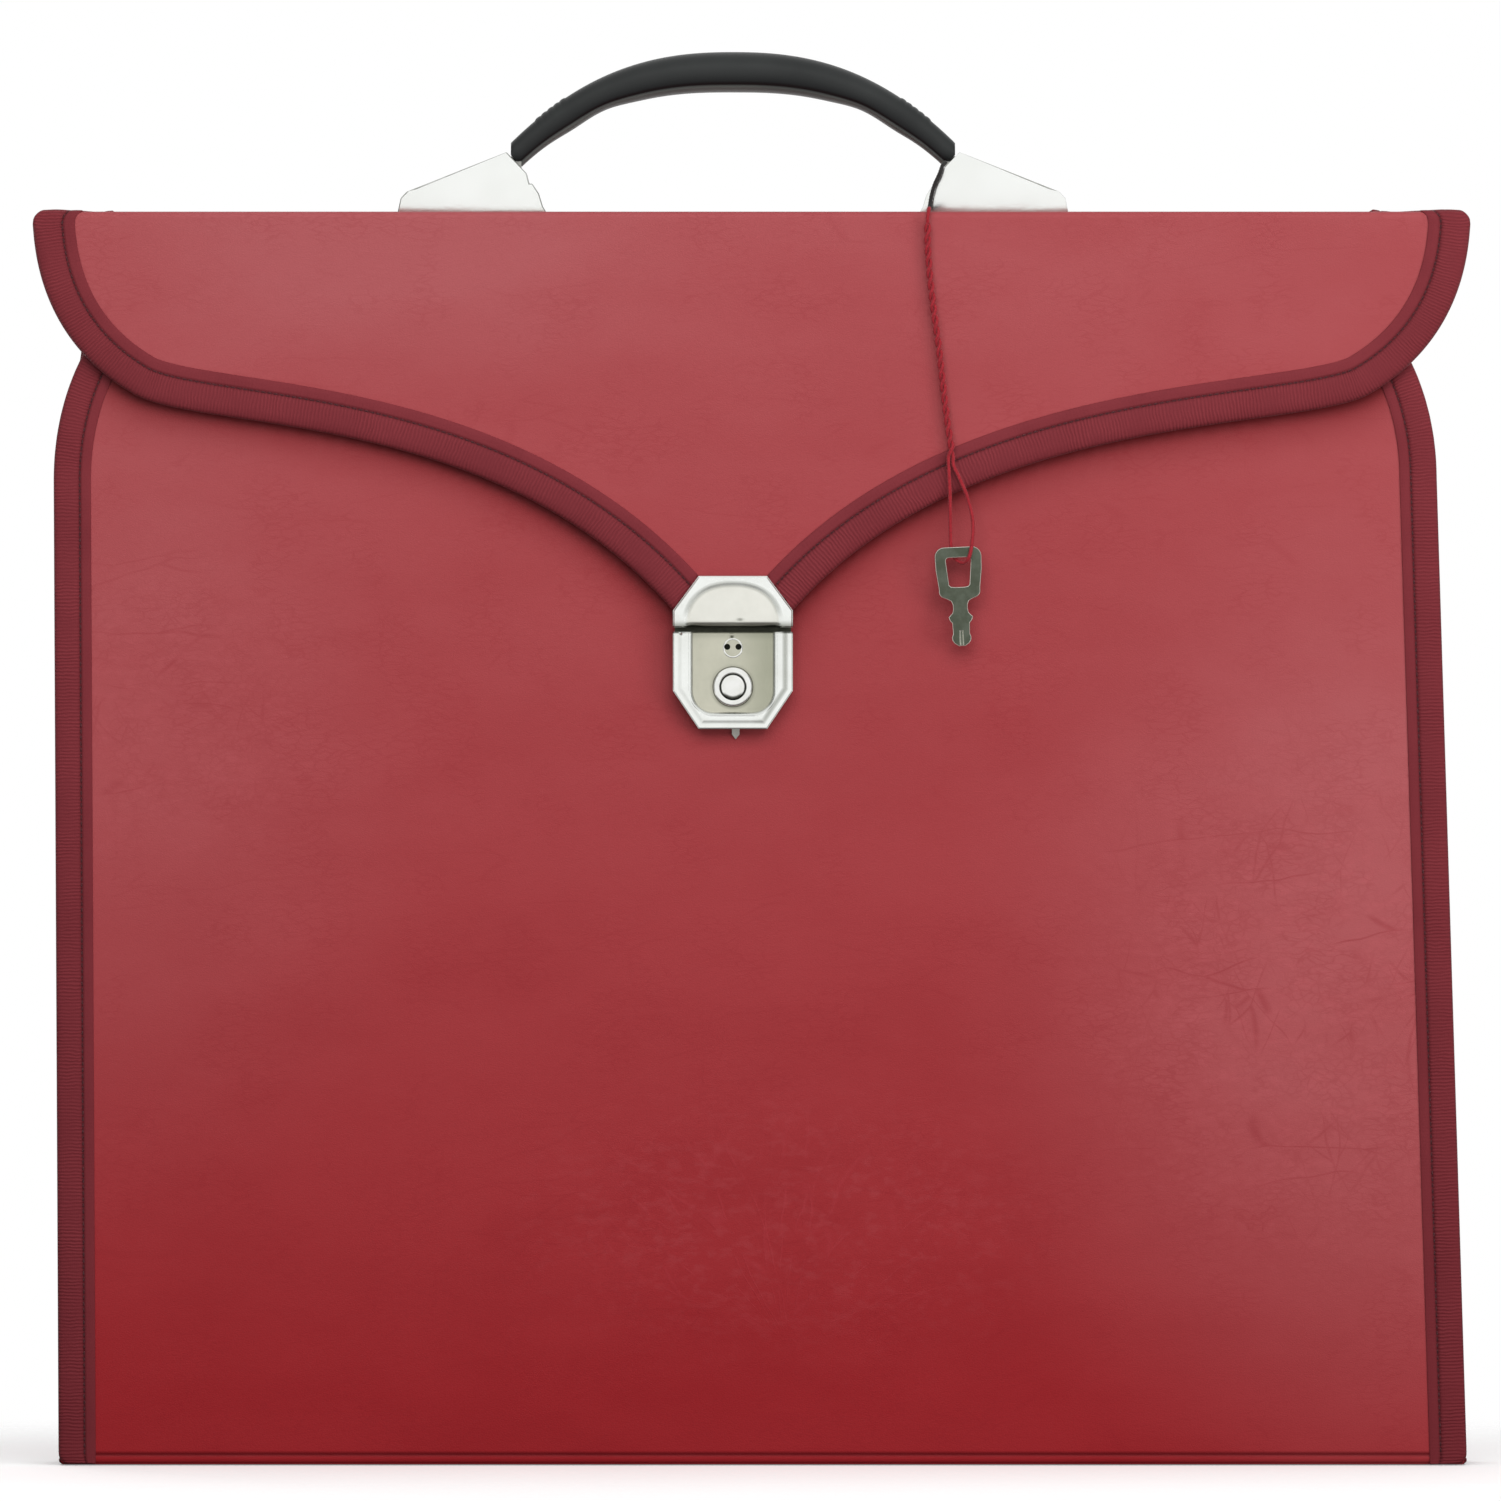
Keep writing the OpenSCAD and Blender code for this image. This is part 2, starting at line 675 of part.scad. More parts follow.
module push_button() {
    top = lock_rise + button_rise;
    dome_r = 9;
    flange_out = field_out - lock_wall - 0.1;
    color(nickel) {
        intersection() {
            rod_out(fittings_x, button_z, button_r, flange_out - 0.8, top);
            translate([fittings_x, front_y - top + dome_r, button_z]) sphere(r = dome_r, $fn = 96);
        }
        rod_out(fittings_x, button_z, button_r + 0.7, flange_out - 0.8, flange_out);
        rod_out(fittings_x, button_z, stem_r, stem_end, flange_out);
    }
}
module catch_slide() {
    nose_half = 1.8;
    slot_half = stem_r + 0.4;
    color(steel) difference() {
        union() {
            block_out([fittings_x - catch_half, catch_out, catch_low],
                [fittings_x + catch_half, catch_out + catch_t, lock_line + 3]);
            block_out([fittings_x - nose_half, catch_out + 0.8, lock_line + 1],
                [fittings_x + nose_half, -0.9, lock_line + 5]);
        }
        block_out([fittings_x - slot_half, catch_out - 1, button_z - slot_half],
            [fittings_x + slot_half, catch_out + catch_t + 1, button_z + slot_half + catch_travel]);
    }
}
module key_plug() {
    color(nickel) difference() {
        union() {
            rod_out(fittings_x, plug_z, plug_r, plate_t + 0.2, field_out + 0.3);
            rod_out(fittings_x, plug_z, 1.5, -1, plate_t + 0.2);
        }
        for (side = [-1, 1])
            rod_out(fittings_x + side * 1.5, plug_z, 0.7, field_out - 3, field_out + 1);
    }
}
module lock_cam() {
    color(steel) {
        rod_out(fittings_x, plug_z, 2.2, -1.8, -1);
        block_out([fittings_x, -1.8, plug_z - 1.2], [fittings_x + 4, -1, plug_z + 1.2]);
    }
}

// A wire wound into a coil about Z, as one unbroken tube of six sides
module coil(coil_r, wire_r, height, turns) {
    rings = 10 * turns;
    sides = 6;
    pitch = (height - 2 * wire_r) / turns;
    points = [
        for (i = [0 : rings], k = [0 : sides - 1])
            let (a = 360 * turns * i / rings, b = -360 * k / sides, r = coil_r + wire_r * cos(b))
            [r * cos(a), r * sin(a), wire_r + pitch * turns * i / rings + wire_r * sin(b)]
    ];
    tube(points, rings, sides);
}
// Skin of a tube from its rings of points
module tube(points, rings, sides) {
    walls = [
        for (i = [0 : rings - 1], k = [0 : sides - 1])
            let (a = i * sides + k, b = i * sides + (k + 1) % sides)
            each [[a, a + sides, b], [b, a + sides, b + sides]]
    ];
    first = [for (k = [1 : sides - 2]) [0, k, k + 1]];
    last = rings * sides;
    final = [for (k = [1 : sides - 2]) [last, last + k + 1, last + k]];
    polyhedron(points, concat(walls, first, final));
}
spring_wire_r = 0.2;
module button_spring() {
    turns = 4;
    echo(button_spring_gap = (flange_low() - plate_t - 2 * spring_wire_r) / turns - 2 * spring_wire_r);
    color(steel) translate([fittings_x, front_y - plate_t, button_z]) rotate([90, 0, 0])
        coil(2.6, spring_wire_r, flange_low() - plate_t, turns);
}
function flange_low() = field_out - lock_wall - 0.9;
module catch_spring() {
    turns = 5;
    height = catch_low - spring_low;
    echo(catch_spring_gap = (height - 2 * spring_wire_r) / turns - 2 * spring_wire_r);
    color(steel) translate([fittings_x, front_y - back_plate_out - 1.3, spring_low])
        coil(1, spring_wire_r, height, turns);
}

// Bracket at one end of the handle, drawn with X running outward from the handle's middle.
// Both are one stamping whose rear foot is the longer, and the left one is turned round.
notch_x = grip_reach + 1.3;
notch_z = pivot_z - 4.5;
pin_end = notch_x + sheet_t + 1.6;
foot_in = bracket_in + 3;
function wedge_low(g) = [
    [foot_in + g, g > 0 ? -1 : 0], [bracket_out - g, g > 0 ? -1 : 0],
    [bracket_out - 0.9 - g, 4.2 - g / 2], [bracket_out - 2.6 - g, 6 - g],
    [bracket_out - 5.5 - g, 6.7 - g], [foot_in + 2.7 + 1.2 * g, 11.2 - g]
];
function wedge_high(g) = [
    [foot_in + 4.4 + 1.4 * g, 12.6 - g], [notch_x + 1 + 0.4 * g, 17.3 - 1.4 * g],
    [bracket_out - 4.5 - 2 * g, 6.8 - g], [foot_in + 6 + g, 10.6 - g]
];
module wedge(g) {
    hull() {
        upright(wedge_low(g), g - bracket_half_d, 2 * (bracket_half_d - g));
        upright(wedge_high(g), g - ridge_half_d, 2 * (ridge_half_d - g));
    }
}
module long_foot() {
    upright([
        [bracket_in, 0], [bracket_in + 1.1, 1.8], [bracket_in + 2.2, 5.4],
        [bracket_in + 4.1, notch_z], [foot_in + 5, notch_z], [foot_in + 5, 0]
    ], bracket_half_d - sheet_t, sheet_t);
}
module bracket() {
    mouth_half = ridge_half_d - sheet_t;
    color(nickel) difference() {
        union() {
            difference() {
                wedge(0);
                difference() {
                    wedge(sheet_t);
                    translate([0, -20, notch_z - sheet_t]) cube([notch_x + sheet_t, 40, 20]);
                }
                translate([0, -mouth_half, notch_z]) cube([notch_x, 2 * mouth_half, 20]);
            }
            long_foot();
            for (face = [-1, 1]) prong(face);
        }
        translate([notch_x - 1, 0, pivot_z]) rotate([0, 90, 0])
            cylinder(r = pin_r + 0.05, h = sheet_t + 2, $fn = 48);
    }
}
backing_z = -top_stack - plate_t;
module prong(face) {
    outer = face * bracket_half_d;
    inner = face * (bracket_half_d - sheet_t);
    foot = face * (bracket_half_d - 5);
    low = backing_z - sheet_t;
    translate([prong_x, min(outer, inner), low]) cube([prong_w, sheet_t, 1.5 - low]);
    translate([prong_x, min(outer, foot), low]) cube([prong_w, abs(outer - foot), sheet_t]);
}
module at_bracket(side) {
    translate([fittings_x, handle_y, case_h]) rotate([0, 0, side < 0 ? 180 : 0]) children();
}
module backing_plates() {
    color(steel) difference() {
        for (side = [-1, 1]) at_bracket(side)
            translate([prong_x - 9, -bracket_half_d - 3, backing_z])
                cube([prong_w + 18, 2 * bracket_half_d + 6, plate_t]);
        prong_slots();
    }
}

// Handle, whose middle line is one curve from end to end
grip_rings = 36;
grip_sides = 16;
grip_bend = 2.5;
function grip_mid(u) = [grip_reach * u, grip_end_z + grip_rise * (1 - pow(abs(u), grip_bend))];
function grip_way(u) = unit([grip_reach, -grip_rise * grip_bend * pow(abs(u), grip_bend - 1) * sign(u)]);
function swell(u, power) = pow(max(0, 1 - u * u), power);
function grip_half_t(u) = (grip_end_t + (grip_mid_t - grip_end_t) * swell(u, 1.4)) / 2;
function grip_half_w(u) = (grip_end_w + (grip_mid_w - grip_end_w) * swell(u, 1.2)) / 2;
function soft(v, power) = sign(v) * pow(abs(v), power);
// The grip's ends are cut square beside the brackets' walls
grip_end_x = notch_x - 0.3;
module grip_skin() {
    points = [
        for (i = [0 : grip_rings], k = [0 : grip_sides - 1])
            let (
                u = -cos(180 * i / grip_rings),
                a = 360 * k / grip_sides,
                rise = grip_half_t(u) * soft(sin(a), 0.85),
                depth = grip_half_w(u) * soft(cos(a), 0.85),
                p = grip_mid(u) + left_of(grip_way(u)) * rise
            )
            [max(-grip_end_x, min(grip_end_x, p[0])), depth, p[1]]
    ];
    tube(points, grip_rings, grip_sides);
}
eye_l = 3;
eye_x = notch_x - 0.2 - eye_l;
module eyes(r) {
    for (side = [0, 1]) mirror([side, 0, 0])
        translate([eye_x, 0, pivot_z]) rotate([0, 90, 0]) cylinder(r = r, h = eye_l, $fn = 48);
}
strip_steps = 32;
module strip_band() {
    stations = [for (i = [0 : strip_steps]) 2 * i / strip_steps - 1];
    above = [for (u = stations) grip_mid(u) + left_of(grip_way(u)) * core_t / 2];
    below = [for (u = stations) grip_mid(u) - left_of(grip_way(u)) * core_t / 2];
    upright(concat(above, reversed(below)), -core_w / 2, core_w);
}
module at_handle() {
    translate([fittings_x, handle_y, case_h]) children();
}
module grip() {
    color(plastic) at_handle() difference() {
        grip_skin();
        strip_band();
        eyes(eye_r);
    }
}
module handle_strip() {
    color(steel) at_handle() difference() {
        union() {
            strip_band();
            eyes(eye_r);
        }
        translate([-notch_x - 1, 0, pivot_z]) rotate([0, 90, 0])
            cylinder(r = pin_r, h = 2 * notch_x + 2, $fn = 48);
    }
}
module handle_pins() {
    color(steel) at_handle() for (side = [0, 1]) mirror([side, 0, 0])
        translate([eye_x, 0, pivot_z]) rotate([0, 90, 0])
            cylinder(r = pin_r, h = pin_end - eye_x, $fn = 48);
}

// Route of the thread: from the right bracket's mouth down its front wall, forward over the top's
// edge, and down to the key
cord_sides = 8;
wall_y = handle_y - bracket_half_d;
hang_y = flap_y - tape_t - 1.5;
upper_route = [
    [55.3, wall_y + 1.0, 370.4], [54.4, wall_y - 0.3, 369.4], [53.7, wall_y - 1.1, 367.5],
    [53.0, wall_y - 1.3, 365.9], [52.2, wall_y - 1.3, 364.2], [51.6, wall_y - 1.3, 362.3],
    [51.1, wall_y - 1.3, 360.2], [50.8, wall_y - 1.6, 358.3], [50.6, wall_y - 2.6, 357.1],
    [50.5, wall_y - 4.5, 356.8], [50.4, wall_y - 8, 356.8], [50.4, flap_y, 356.8]
];
bend_route = [
    [50.4, flap_y, 356.8], [50.4, flap_y - 0.9, 356.8], [50.2, flap_y - 2.0, 355.6],
    [50.0, hang_y, 354.2], [50.0, hang_y, 352.5]
];
pair_route = [
    [50.0, hang_y, 352.5], [50.0, hang_y, 346], [50.6, hang_y, 338], [51.7, hang_y, 328],
    [53.2, hang_y, 317], [54.4, hang_y, 306], [55.6, hang_y, 296], [56.6, hang_y, 289.5],
    [56.6, hang_y, 286.5]
];
loop_route = [
    [55.9, hang_y, 286.5], [55.9, hang_y, 284], [56.3, hang_y, 277], [56.4, hang_y + 0.4, 270],
    [56.5, hang_y + 1.1, 264.5], [56.7, hang_y + 1.4, 260.5], [57.5, hang_y + 1.4, 257.9],
    [58.9, hang_y + 0.9, 256.5], [60.3, hang_y, 256.2], [61.4, hang_y - 1.1, 257.1],
    [62.1, hang_y - 1.5, 259.0], [62.6, hang_y - 1.3, 262.0], [62.9, hang_y - 0.9, 265.5],
    [62.6, hang_y - 0.3, 269.8], [61.0, hang_y, 275.5], [58.9, hang_y, 280.5],
    [57.3, hang_y, 284], [57.3, hang_y, 286.5]
];
function way(route, i) = unit(route[min(i + 1, len(route) - 1)] - route[max(i - 1, 0)]);
// One strand, swept along its route with rings square to it
module cord(route, d) {
    points = [
        for (i = [0 : len(route) - 1], k = [0 : cord_sides - 1])
            let (
                a = -360 * k / cord_sides,
                ahead = way(route, i),
                side = unit(cross(ahead, abs(ahead[1]) > 0.9 ? [1, 0, 0] : [0, 1, 0])),
                up = cross(side, ahead)
            )
            route[i] + (side * cos(a) + up * sin(a)) * d / 2
    ];
    color(thread_c) tube(points, len(route) - 1, cord_sides);
}

// Key, a flat stamping that hangs with its bow up, turned a little on its thread
key_x = 58.5;
key_top = 260.7;
// Points round a corner from one angle to another
function bend(at, r, from, to, steps = 5) =
    [for (i = [0 : steps]) let (a = from + (to - from) * i / steps) at + r * [cos(a), sin(a)]];
// The same points on the other side, so that both sides make one closed outline
function both(side) = concat(side, reversed([for (p = side) [-p[0], p[1]]]));
module key() {
    half = bow_w / 2;
    tip = -bow_h - shank_l;
    outline = both(concat(
        bend([half - 2.7, -2.7], 2.7, 90, 0),
        [[half - 0.1, -6.5], [half - 0.75, 3.3 - bow_h]],
        bend([half - 2.65, 2.2 - bow_h], 1.9, 10, -60, 4),
        [[half - 3.3, -0.1 - bow_h], [2.5, -0.6 - bow_h], [2.15, -1.5 - bow_h]],
        [[2.1, -2.8 - bow_h], [2.3, -3.9 - bow_h], [3.5, -5.1 - bow_h], [3.1, -6.2 - bow_h]],
        [[2.5, -6.8 - bow_h], [2.4, tip + 3.7], [2.75, tip + 2.9], [2.7, tip + 1.9]],
        [[2.1, tip + 1], [0.9, tip + 0.2]]
    ));
    hole = both(concat(
        bend([half - 4, -3.9], 0.9, 90, 0, 4),
        [[half - 3.75, 4 - bow_h], [half - 4.2, 3.55 - bow_h], [half - 5.4, 3.4 - bow_h]]
    ));
    color(steel) translate([key_x, 0, key_top]) rotate([0, -2.6, 0]) difference() {
        upright(outline, hang_y - key_t / 2, key_t);
        upright(hole, hang_y - key_t, 2 * key_t);
        translate([-0.4, hang_y - key_t, tip - 1]) cube([0.8, key_t, 5.6]);
    }
}

front_board();
front_cover();
front_lining();
front_binding();
back_board();
back_cover();
back_lining();
back_binding(-1);  // back_binding_left
back_binding(1);  // back_binding_right
bottom_board();
bottom_cover();
bottom_lining();
bottom_binding(-1);  // bottom_binding_left
bottom_binding(1);  // bottom_binding_right
gusset(-1);  // gusset_left
gusset(1);  // gusset_right
top_board();
top_cover();
top_lining();
top_binding(-1);  // top_binding_left
top_binding(1);  // top_binding_right
back_fold_cloth();
back_fold_tape();
flap_fold_cloth();
flap_fold_tape();
flap_board();
flap_cover();
flap_lining();
flap_binding_left();
flap_binding_right();
hasp_plate();
hasp_clip();
hasp_rivets();
lock_base();
lock_case();
lock_back_plate();
lock_rivets();
button_bezel();
push_button();
button_spring();
catch_slide();
catch_spring();
key_plug();
lock_cam();
at_bracket(-1) bracket();  // bracket_left
at_bracket(1) bracket();  // bracket_right
backing_plates();
grip();
handle_strip();
handle_pins();
cord(upper_route, strand_d);  // thread_upper
cord(bend_route, strand_d);  // thread_bend
cord(pair_route, pair_d);  // thread_pair
cord(loop_route, strand_d);  // thread_loop
key();
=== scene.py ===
"""Apron case: the looks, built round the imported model."""
import math

import bmesh
import bpy
import numpy as np
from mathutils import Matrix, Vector, noise


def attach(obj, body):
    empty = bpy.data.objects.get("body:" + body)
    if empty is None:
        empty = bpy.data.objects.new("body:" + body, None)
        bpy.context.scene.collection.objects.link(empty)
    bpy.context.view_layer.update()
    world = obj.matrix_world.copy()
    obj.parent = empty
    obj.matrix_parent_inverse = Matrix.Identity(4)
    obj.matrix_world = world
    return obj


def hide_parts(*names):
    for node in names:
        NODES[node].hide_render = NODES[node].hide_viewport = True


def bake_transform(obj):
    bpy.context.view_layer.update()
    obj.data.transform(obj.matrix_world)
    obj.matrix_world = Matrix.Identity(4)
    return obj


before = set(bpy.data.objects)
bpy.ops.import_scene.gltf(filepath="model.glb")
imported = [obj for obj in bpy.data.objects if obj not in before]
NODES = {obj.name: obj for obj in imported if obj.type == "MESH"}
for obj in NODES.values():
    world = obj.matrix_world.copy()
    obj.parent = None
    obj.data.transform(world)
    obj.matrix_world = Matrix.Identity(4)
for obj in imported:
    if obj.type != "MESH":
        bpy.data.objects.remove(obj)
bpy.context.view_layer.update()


MM = 0.001

# Sizes, in mm
CASE_H = 356.0
CORNER_Z = 280.0
CORNER_W = 40.0
CORNER_H = 58.0
FRONT_TOP = CORNER_Z + CORNER_H
BACK_TOP = 352.5
HALF_FLAP = 204.2
TIP_Z = 239.0
INSET = 0.8
CLOTH_T = 0.7
FOLD_R = 1.7
FOOT_R = 3.4
BODY_TAPE = 10.6
FLAP_TAPE = 12.0
INNER_LEG = 8.8
STITCH_SHARE = 0.70
STITCH_LIFT = 0.20
FRONT_Y = -16.3
BACK_Y = 23.7
FLAP_Y = -21.0
FIT_X = -5.3
HANDLE_Y = 1.35
LOCK_HALF = 17.0
LOCK_CUT = 7.3
SHOULDER = 4.8
HASP_Z = 237.85
HASP_H = 14.6
LOCK_TOP = 236.55
LOCK_H = 27.5
BUTTON_Z = 221.0
PLUG_Z = 232.0
BACK_DRAW = 7.0
TOP_END_Y = 19.4
SEAM_Y = 2.0


# Camera
def link(obj):
    """Puts an object in the scene, and gives it back."""
    bpy.context.scene.collection.objects.link(obj)
    return obj


def make_camera(distance=6.0, seen_width=0.4263, x=-0.0003, z=0.2029):
    """Straight from the front, far off; seen_width is what it sees from side to side at the flap's face."""
    data = bpy.data.cameras.new("camera")
    data.sensor_width = 36.0
    data.lens = 36.0 * distance / seen_width
    data.clip_start = 0.1
    data.clip_end = 30.0
    cam = link(bpy.data.objects.new("camera", data))
    cam.location = (x, FLAP_Y * MM - distance, z)
    cam.rotation_euler = (math.radians(90), 0, 0)
    bpy.context.scene.camera = cam


make_camera()


# Mesh helpers
def add_mesh(name, verts, faces, uvs=None, values=None):
    """A smooth mesh object from points in mm. uvs and values hold one entry a vertex."""
    mesh = bpy.data.meshes.new(name)
    mesh.from_pydata([(x * MM, y * MM, z * MM) for x, y, z in verts], [], faces)
    mesh.update()
    if uvs is not None:
        layer = mesh.uv_layers.new(name="UVMap")
        index = np.zeros(len(mesh.loops), np.int32)
        mesh.loops.foreach_get("vertex_index", index)
        layer.data.foreach_set("uv", np.array(uvs, np.float32)[index].ravel())
    for key, entries in (values or {}).items():
        attribute = mesh.attributes.new(key, "FLOAT", "POINT")
        attribute.data.foreach_set("value", np.array(entries, np.float32))
    mesh.polygons.foreach_set("use_smooth", [True] * len(mesh.polygons))
    return link(bpy.data.objects.new(name, mesh))


def grid_faces(rows, cols, closed=False, start=0):
    """Quads over rows x cols points; closed joins each row's last point to its first."""
    faces = []
    for r in range(rows - 1):
        for c in range(cols if closed else cols - 1):
            a = start + r * cols + c
            b = start + r * cols + (c + 1) % cols
            faces.append((a, b, b + cols, a + cols))
    return faces


def tube_faces(rows, sides, start=0):
    """Faces of a closed tube: its walls and its two ends."""
    last = start + (rows - 1) * sides
    return grid_faces(rows, sides, closed=True, start=start) + [
        tuple(start + k for k in reversed(range(sides))), tuple(last + k for k in range(sides))]


def bake(obj):
    """Applies the object's modifiers."""
    bpy.context.view_layer.update()
    deps = bpy.context.evaluated_depsgraph_get()
    mesh = bpy.data.meshes.new_from_object(obj.evaluated_get(deps), depsgraph=deps)
    old = obj.data
    obj.modifiers.clear()
    obj.data = mesh
    mesh.name = obj.name
    bpy.data.meshes.remove(old)
    return obj


def thicken(obj, mm, offset=-1.0):
    mod = obj.modifiers.new("solid", "SOLIDIFY")
    mod.thickness = mm * MM
    mod.offset = offset
    mod.use_even_offset = True
    return bake(obj)


def outward(obj):
    """Turns every face of a closed mesh outwards."""
    bm = bmesh.new()
    bm.from_mesh(obj.data)
    bmesh.ops.recalc_face_normals(bm, faces=bm.faces)
    bm.to_mesh(obj.data)
    bm.free()
    return obj


def by_angle(obj, degrees=35):
    obj.data.polygons.foreach_set("use_smooth", [True] * len(obj.data.polygons))
    obj.data.set_sharp_from_angle(angle=math.radians(degrees))
    return obj


def bevelled(name, node, width, angle):
    """A piece with the shape of a CAD node and rounded edges."""
    mesh = NODES[node].data.copy()
    mesh.name = name
    if "custom_normal" in mesh.attributes:
        mesh.attributes.remove(mesh.attributes["custom_normal"])
    obj = link(bpy.data.objects.new(name, mesh))
    bm = bmesh.new()
    bm.from_mesh(mesh)
    bmesh.ops.remove_doubles(bm, verts=bm.verts, dist=2e-6)
    bmesh.ops.dissolve_limit(bm, angle_limit=math.radians(1.5), verts=bm.verts, edges=bm.edges)
    for edge in bm.edges:
        edge.smooth = True
    bm.to_mesh(mesh)
    bm.free()
    mesh.materials.clear()
    mod = obj.modifiers.new("bevel", "BEVEL")
    mod.width = width * MM
    mod.segments = 3
    mod.limit_method = "ANGLE"
    mod.angle_limit = math.radians(angle)
    mod.harden_normals = False
    mod.use_clamp_overlap = True
    bake(obj)
    by_angle(obj, 32)
    # The bevels' own faces are thin strips: their material is told so
    thin = []
    for face in obj.data.polygons:
        around = sum((obj.data.vertices[a].co - obj.data.vertices[b].co).length for a, b in face.edge_keys)
        thin.append(1.0 if 2 * face.area / around < 0.72 * width * MM else 0.0)
    strips = obj.data.attributes.new("bevel_face", "FLOAT", "FACE")
    strips.data.foreach_set("value", np.array(thin, np.float32))
    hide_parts(node)
    return obj


def lathe(name, profile, centre, steps=72):
    """A ring turned round an axis along Y. profile gives radius and distance out of the cover."""
    verts = []
    for r, out in profile:
        for k in range(steps):
            a = 2 * math.pi * k / steps
            verts.append((centre[0] + r * math.cos(a), FRONT_Y - out, centre[1] + r * math.sin(a)))
    faces = grid_faces(len(profile), steps, closed=True)
    if profile[0][0] > 1e-6 and profile[0] != profile[-1]:
        faces.append(tuple(range(steps)))
    if profile[-1][0] > 1e-6 and profile[0] != profile[-1]:
        faces.append(tuple((len(profile) - 1) * steps + k for k in range(steps)))
    return outward(add_mesh(name, verts, faces))


def smooth_path(points, step):
    """Catmull-Rom curve through the points, sampled about every step mm."""
    pts = [Vector(p) for p in points]
    pts = [pts[0] * 2 - pts[1]] + pts + [pts[-1] * 2 - pts[-2]]
    out = []
    for i in range(1, len(pts) - 2):
        a, b, c, d = pts[i - 1:i + 3]
        count = max(2, int(math.ceil((c - b).length / step)))
        for k in range(count):
            t = k / count
            out.append(0.5 * ((2 * b) + (c - a) * t + (2 * a - 5 * b + 4 * c - d) * t * t
                              + (3 * b - a - 3 * c + d) * t ** 3))
    out.append(pts[-2])
    return out


def reaches(points):
    """How far along a line each of its points lies."""
    out = [0.0]
    for a, b in zip(points, points[1:]):
        out.append(out[-1] + (Vector(b) - Vector(a)).length)
    return out


def path_length(path):
    return reaches(path)[-1]


def aheads(points):
    """The way ahead at each point of a line."""
    last = len(points) - 1
    return [(points[min(i + 1, last)] - points[max(i - 1, 0)]).normalized() for i in range(last + 1)]


def even(points, step):
    """The same line with points about every step mm along it, ends kept."""
    pts = [Vector(p) for p in points]
    reach = reaches(pts)
    count = max(2, int(round(reach[-1] / step)))
    out, j = [], 0
    for k in range(count + 1):
        want = reach[-1] * k / count
        while j < len(pts) - 2 and reach[j + 1] < want:
            j += 1
        span = reach[j + 1] - reach[j]
        t = 0 if span < 1e-9 else (want - reach[j]) / span
        out.append(pts[j].lerp(pts[j + 1], min(1, max(0, t))))
    return out


def lerp(a, b, t):
    return a + (b - a) * t


def ease(t):
    t = min(1.0, max(0.0, t))
    return t * t * (3 - 2 * t)


# Outlines, in mm
def edge_x(side, z):
    return 3.2 - 5 * z / CORNER_Z + side * (200.2 - 3.6 * z / CORNER_Z)


def back_x(side, z):
    return edge_x(side, z) - side * BACK_DRAW * ease((z - CORNER_Z - 8) / 32)


def corner(side, inset, steps=22):
    base = edge_x(side, CORNER_Z)
    out = []
    for i in range(steps + 1):
        a = math.pi / 2 * i / steps
        out.append((base - side * (CORNER_W - (CORNER_W - inset) * math.cos(a)),
                    CORNER_Z + (CORNER_H - inset) * math.sin(a)))
    return out


def bezier(a, b, c, d, t):
    s = 1 - t
    return tuple(a[k] * s ** 3 + b[k] * 3 * t * s * s + c[k] * 3 * t * t * s + d[k] * t ** 3
                 for k in range(2))


def from_top(side, x, drop):
    return (side * (HALF_FLAP - x), CASE_H - drop)


def flap_edge(side, steps=40):
    shoulder = from_top(side, 28, 51.5)
    tip = (FIT_X + side * 17.3, TIP_Z + 4)
    first = [bezier(from_top(side, 0, 3.5), from_top(side, 0.8, 20), from_top(side, 7, 39),
                    shoulder, i / steps) for i in range(steps + 1)]
    second = [bezier(shoulder, from_top(side, 46, 63), (FIT_X + side * 68, TIP_Z + 62), tip,
                     i / steps) for i in range(1, steps + 1)]
    return first + second + [(FIT_X + side * 13, TIP_Z)]


def top_edge_x(side, y):
    return side * HALF_FLAP + (back_x(side, BACK_TOP) - side * HALF_FLAP) * (y - FLAP_Y) / (BACK_Y - FLAP_Y)


# Threads
UPPER = [
    (55.3, -5.65, 370.4), (54.4, -6.95, 369.4), (53.7, -7.75, 367.5), (53.0, -7.95, 365.9),
    (52.2, -7.95, 364.2), (51.6, -7.95, 362.3), (51.1, -7.95, 360.2), (50.8, -8.25, 358.3),
    (50.6, -9.25, 357.1), (50.5, -11.15, 356.8), (50.4, -14.65, 356.8), (50.4, -21.0, 356.8),
    (50.4, -21.9, 356.8), (50.2, -23.0, 355.6), (50.0, -23.3, 354.2), (50.0, -23.3, 352.5),
]
PAIR = [
    (50.0, -23.3, 352.5), (50.0, -23.3, 346), (50.6, -23.3, 338), (51.7, -23.3, 328),
    (53.2, -23.3, 317), (54.4, -23.3, 306), (55.6, -23.3, 296), (56.6, -23.3, 289.5),
    (56.6, -23.3, 286.5),
]
LOOP = [
    (55.9, -23.3, 286.5), (55.9, -23.3, 284), (56.3, -23.3, 277), (56.4, -22.9, 270),
    (56.5, -22.2, 264.5), (56.7, -21.9, 260.5), (57.5, -21.9, 257.9), (58.9, -22.4, 256.5),
    (60.3, -23.3, 256.2), (61.4, -24.4, 257.1), (62.1, -24.8, 259.0), (62.6, -24.6, 262.0),
    (62.9, -24.2, 265.5), (62.6, -23.6, 269.8), (61.0, -23.3, 275.5), (58.9, -23.3, 280.5),
    (57.3, -23.3, 284), (57.3, -23.3, 286.5),
]


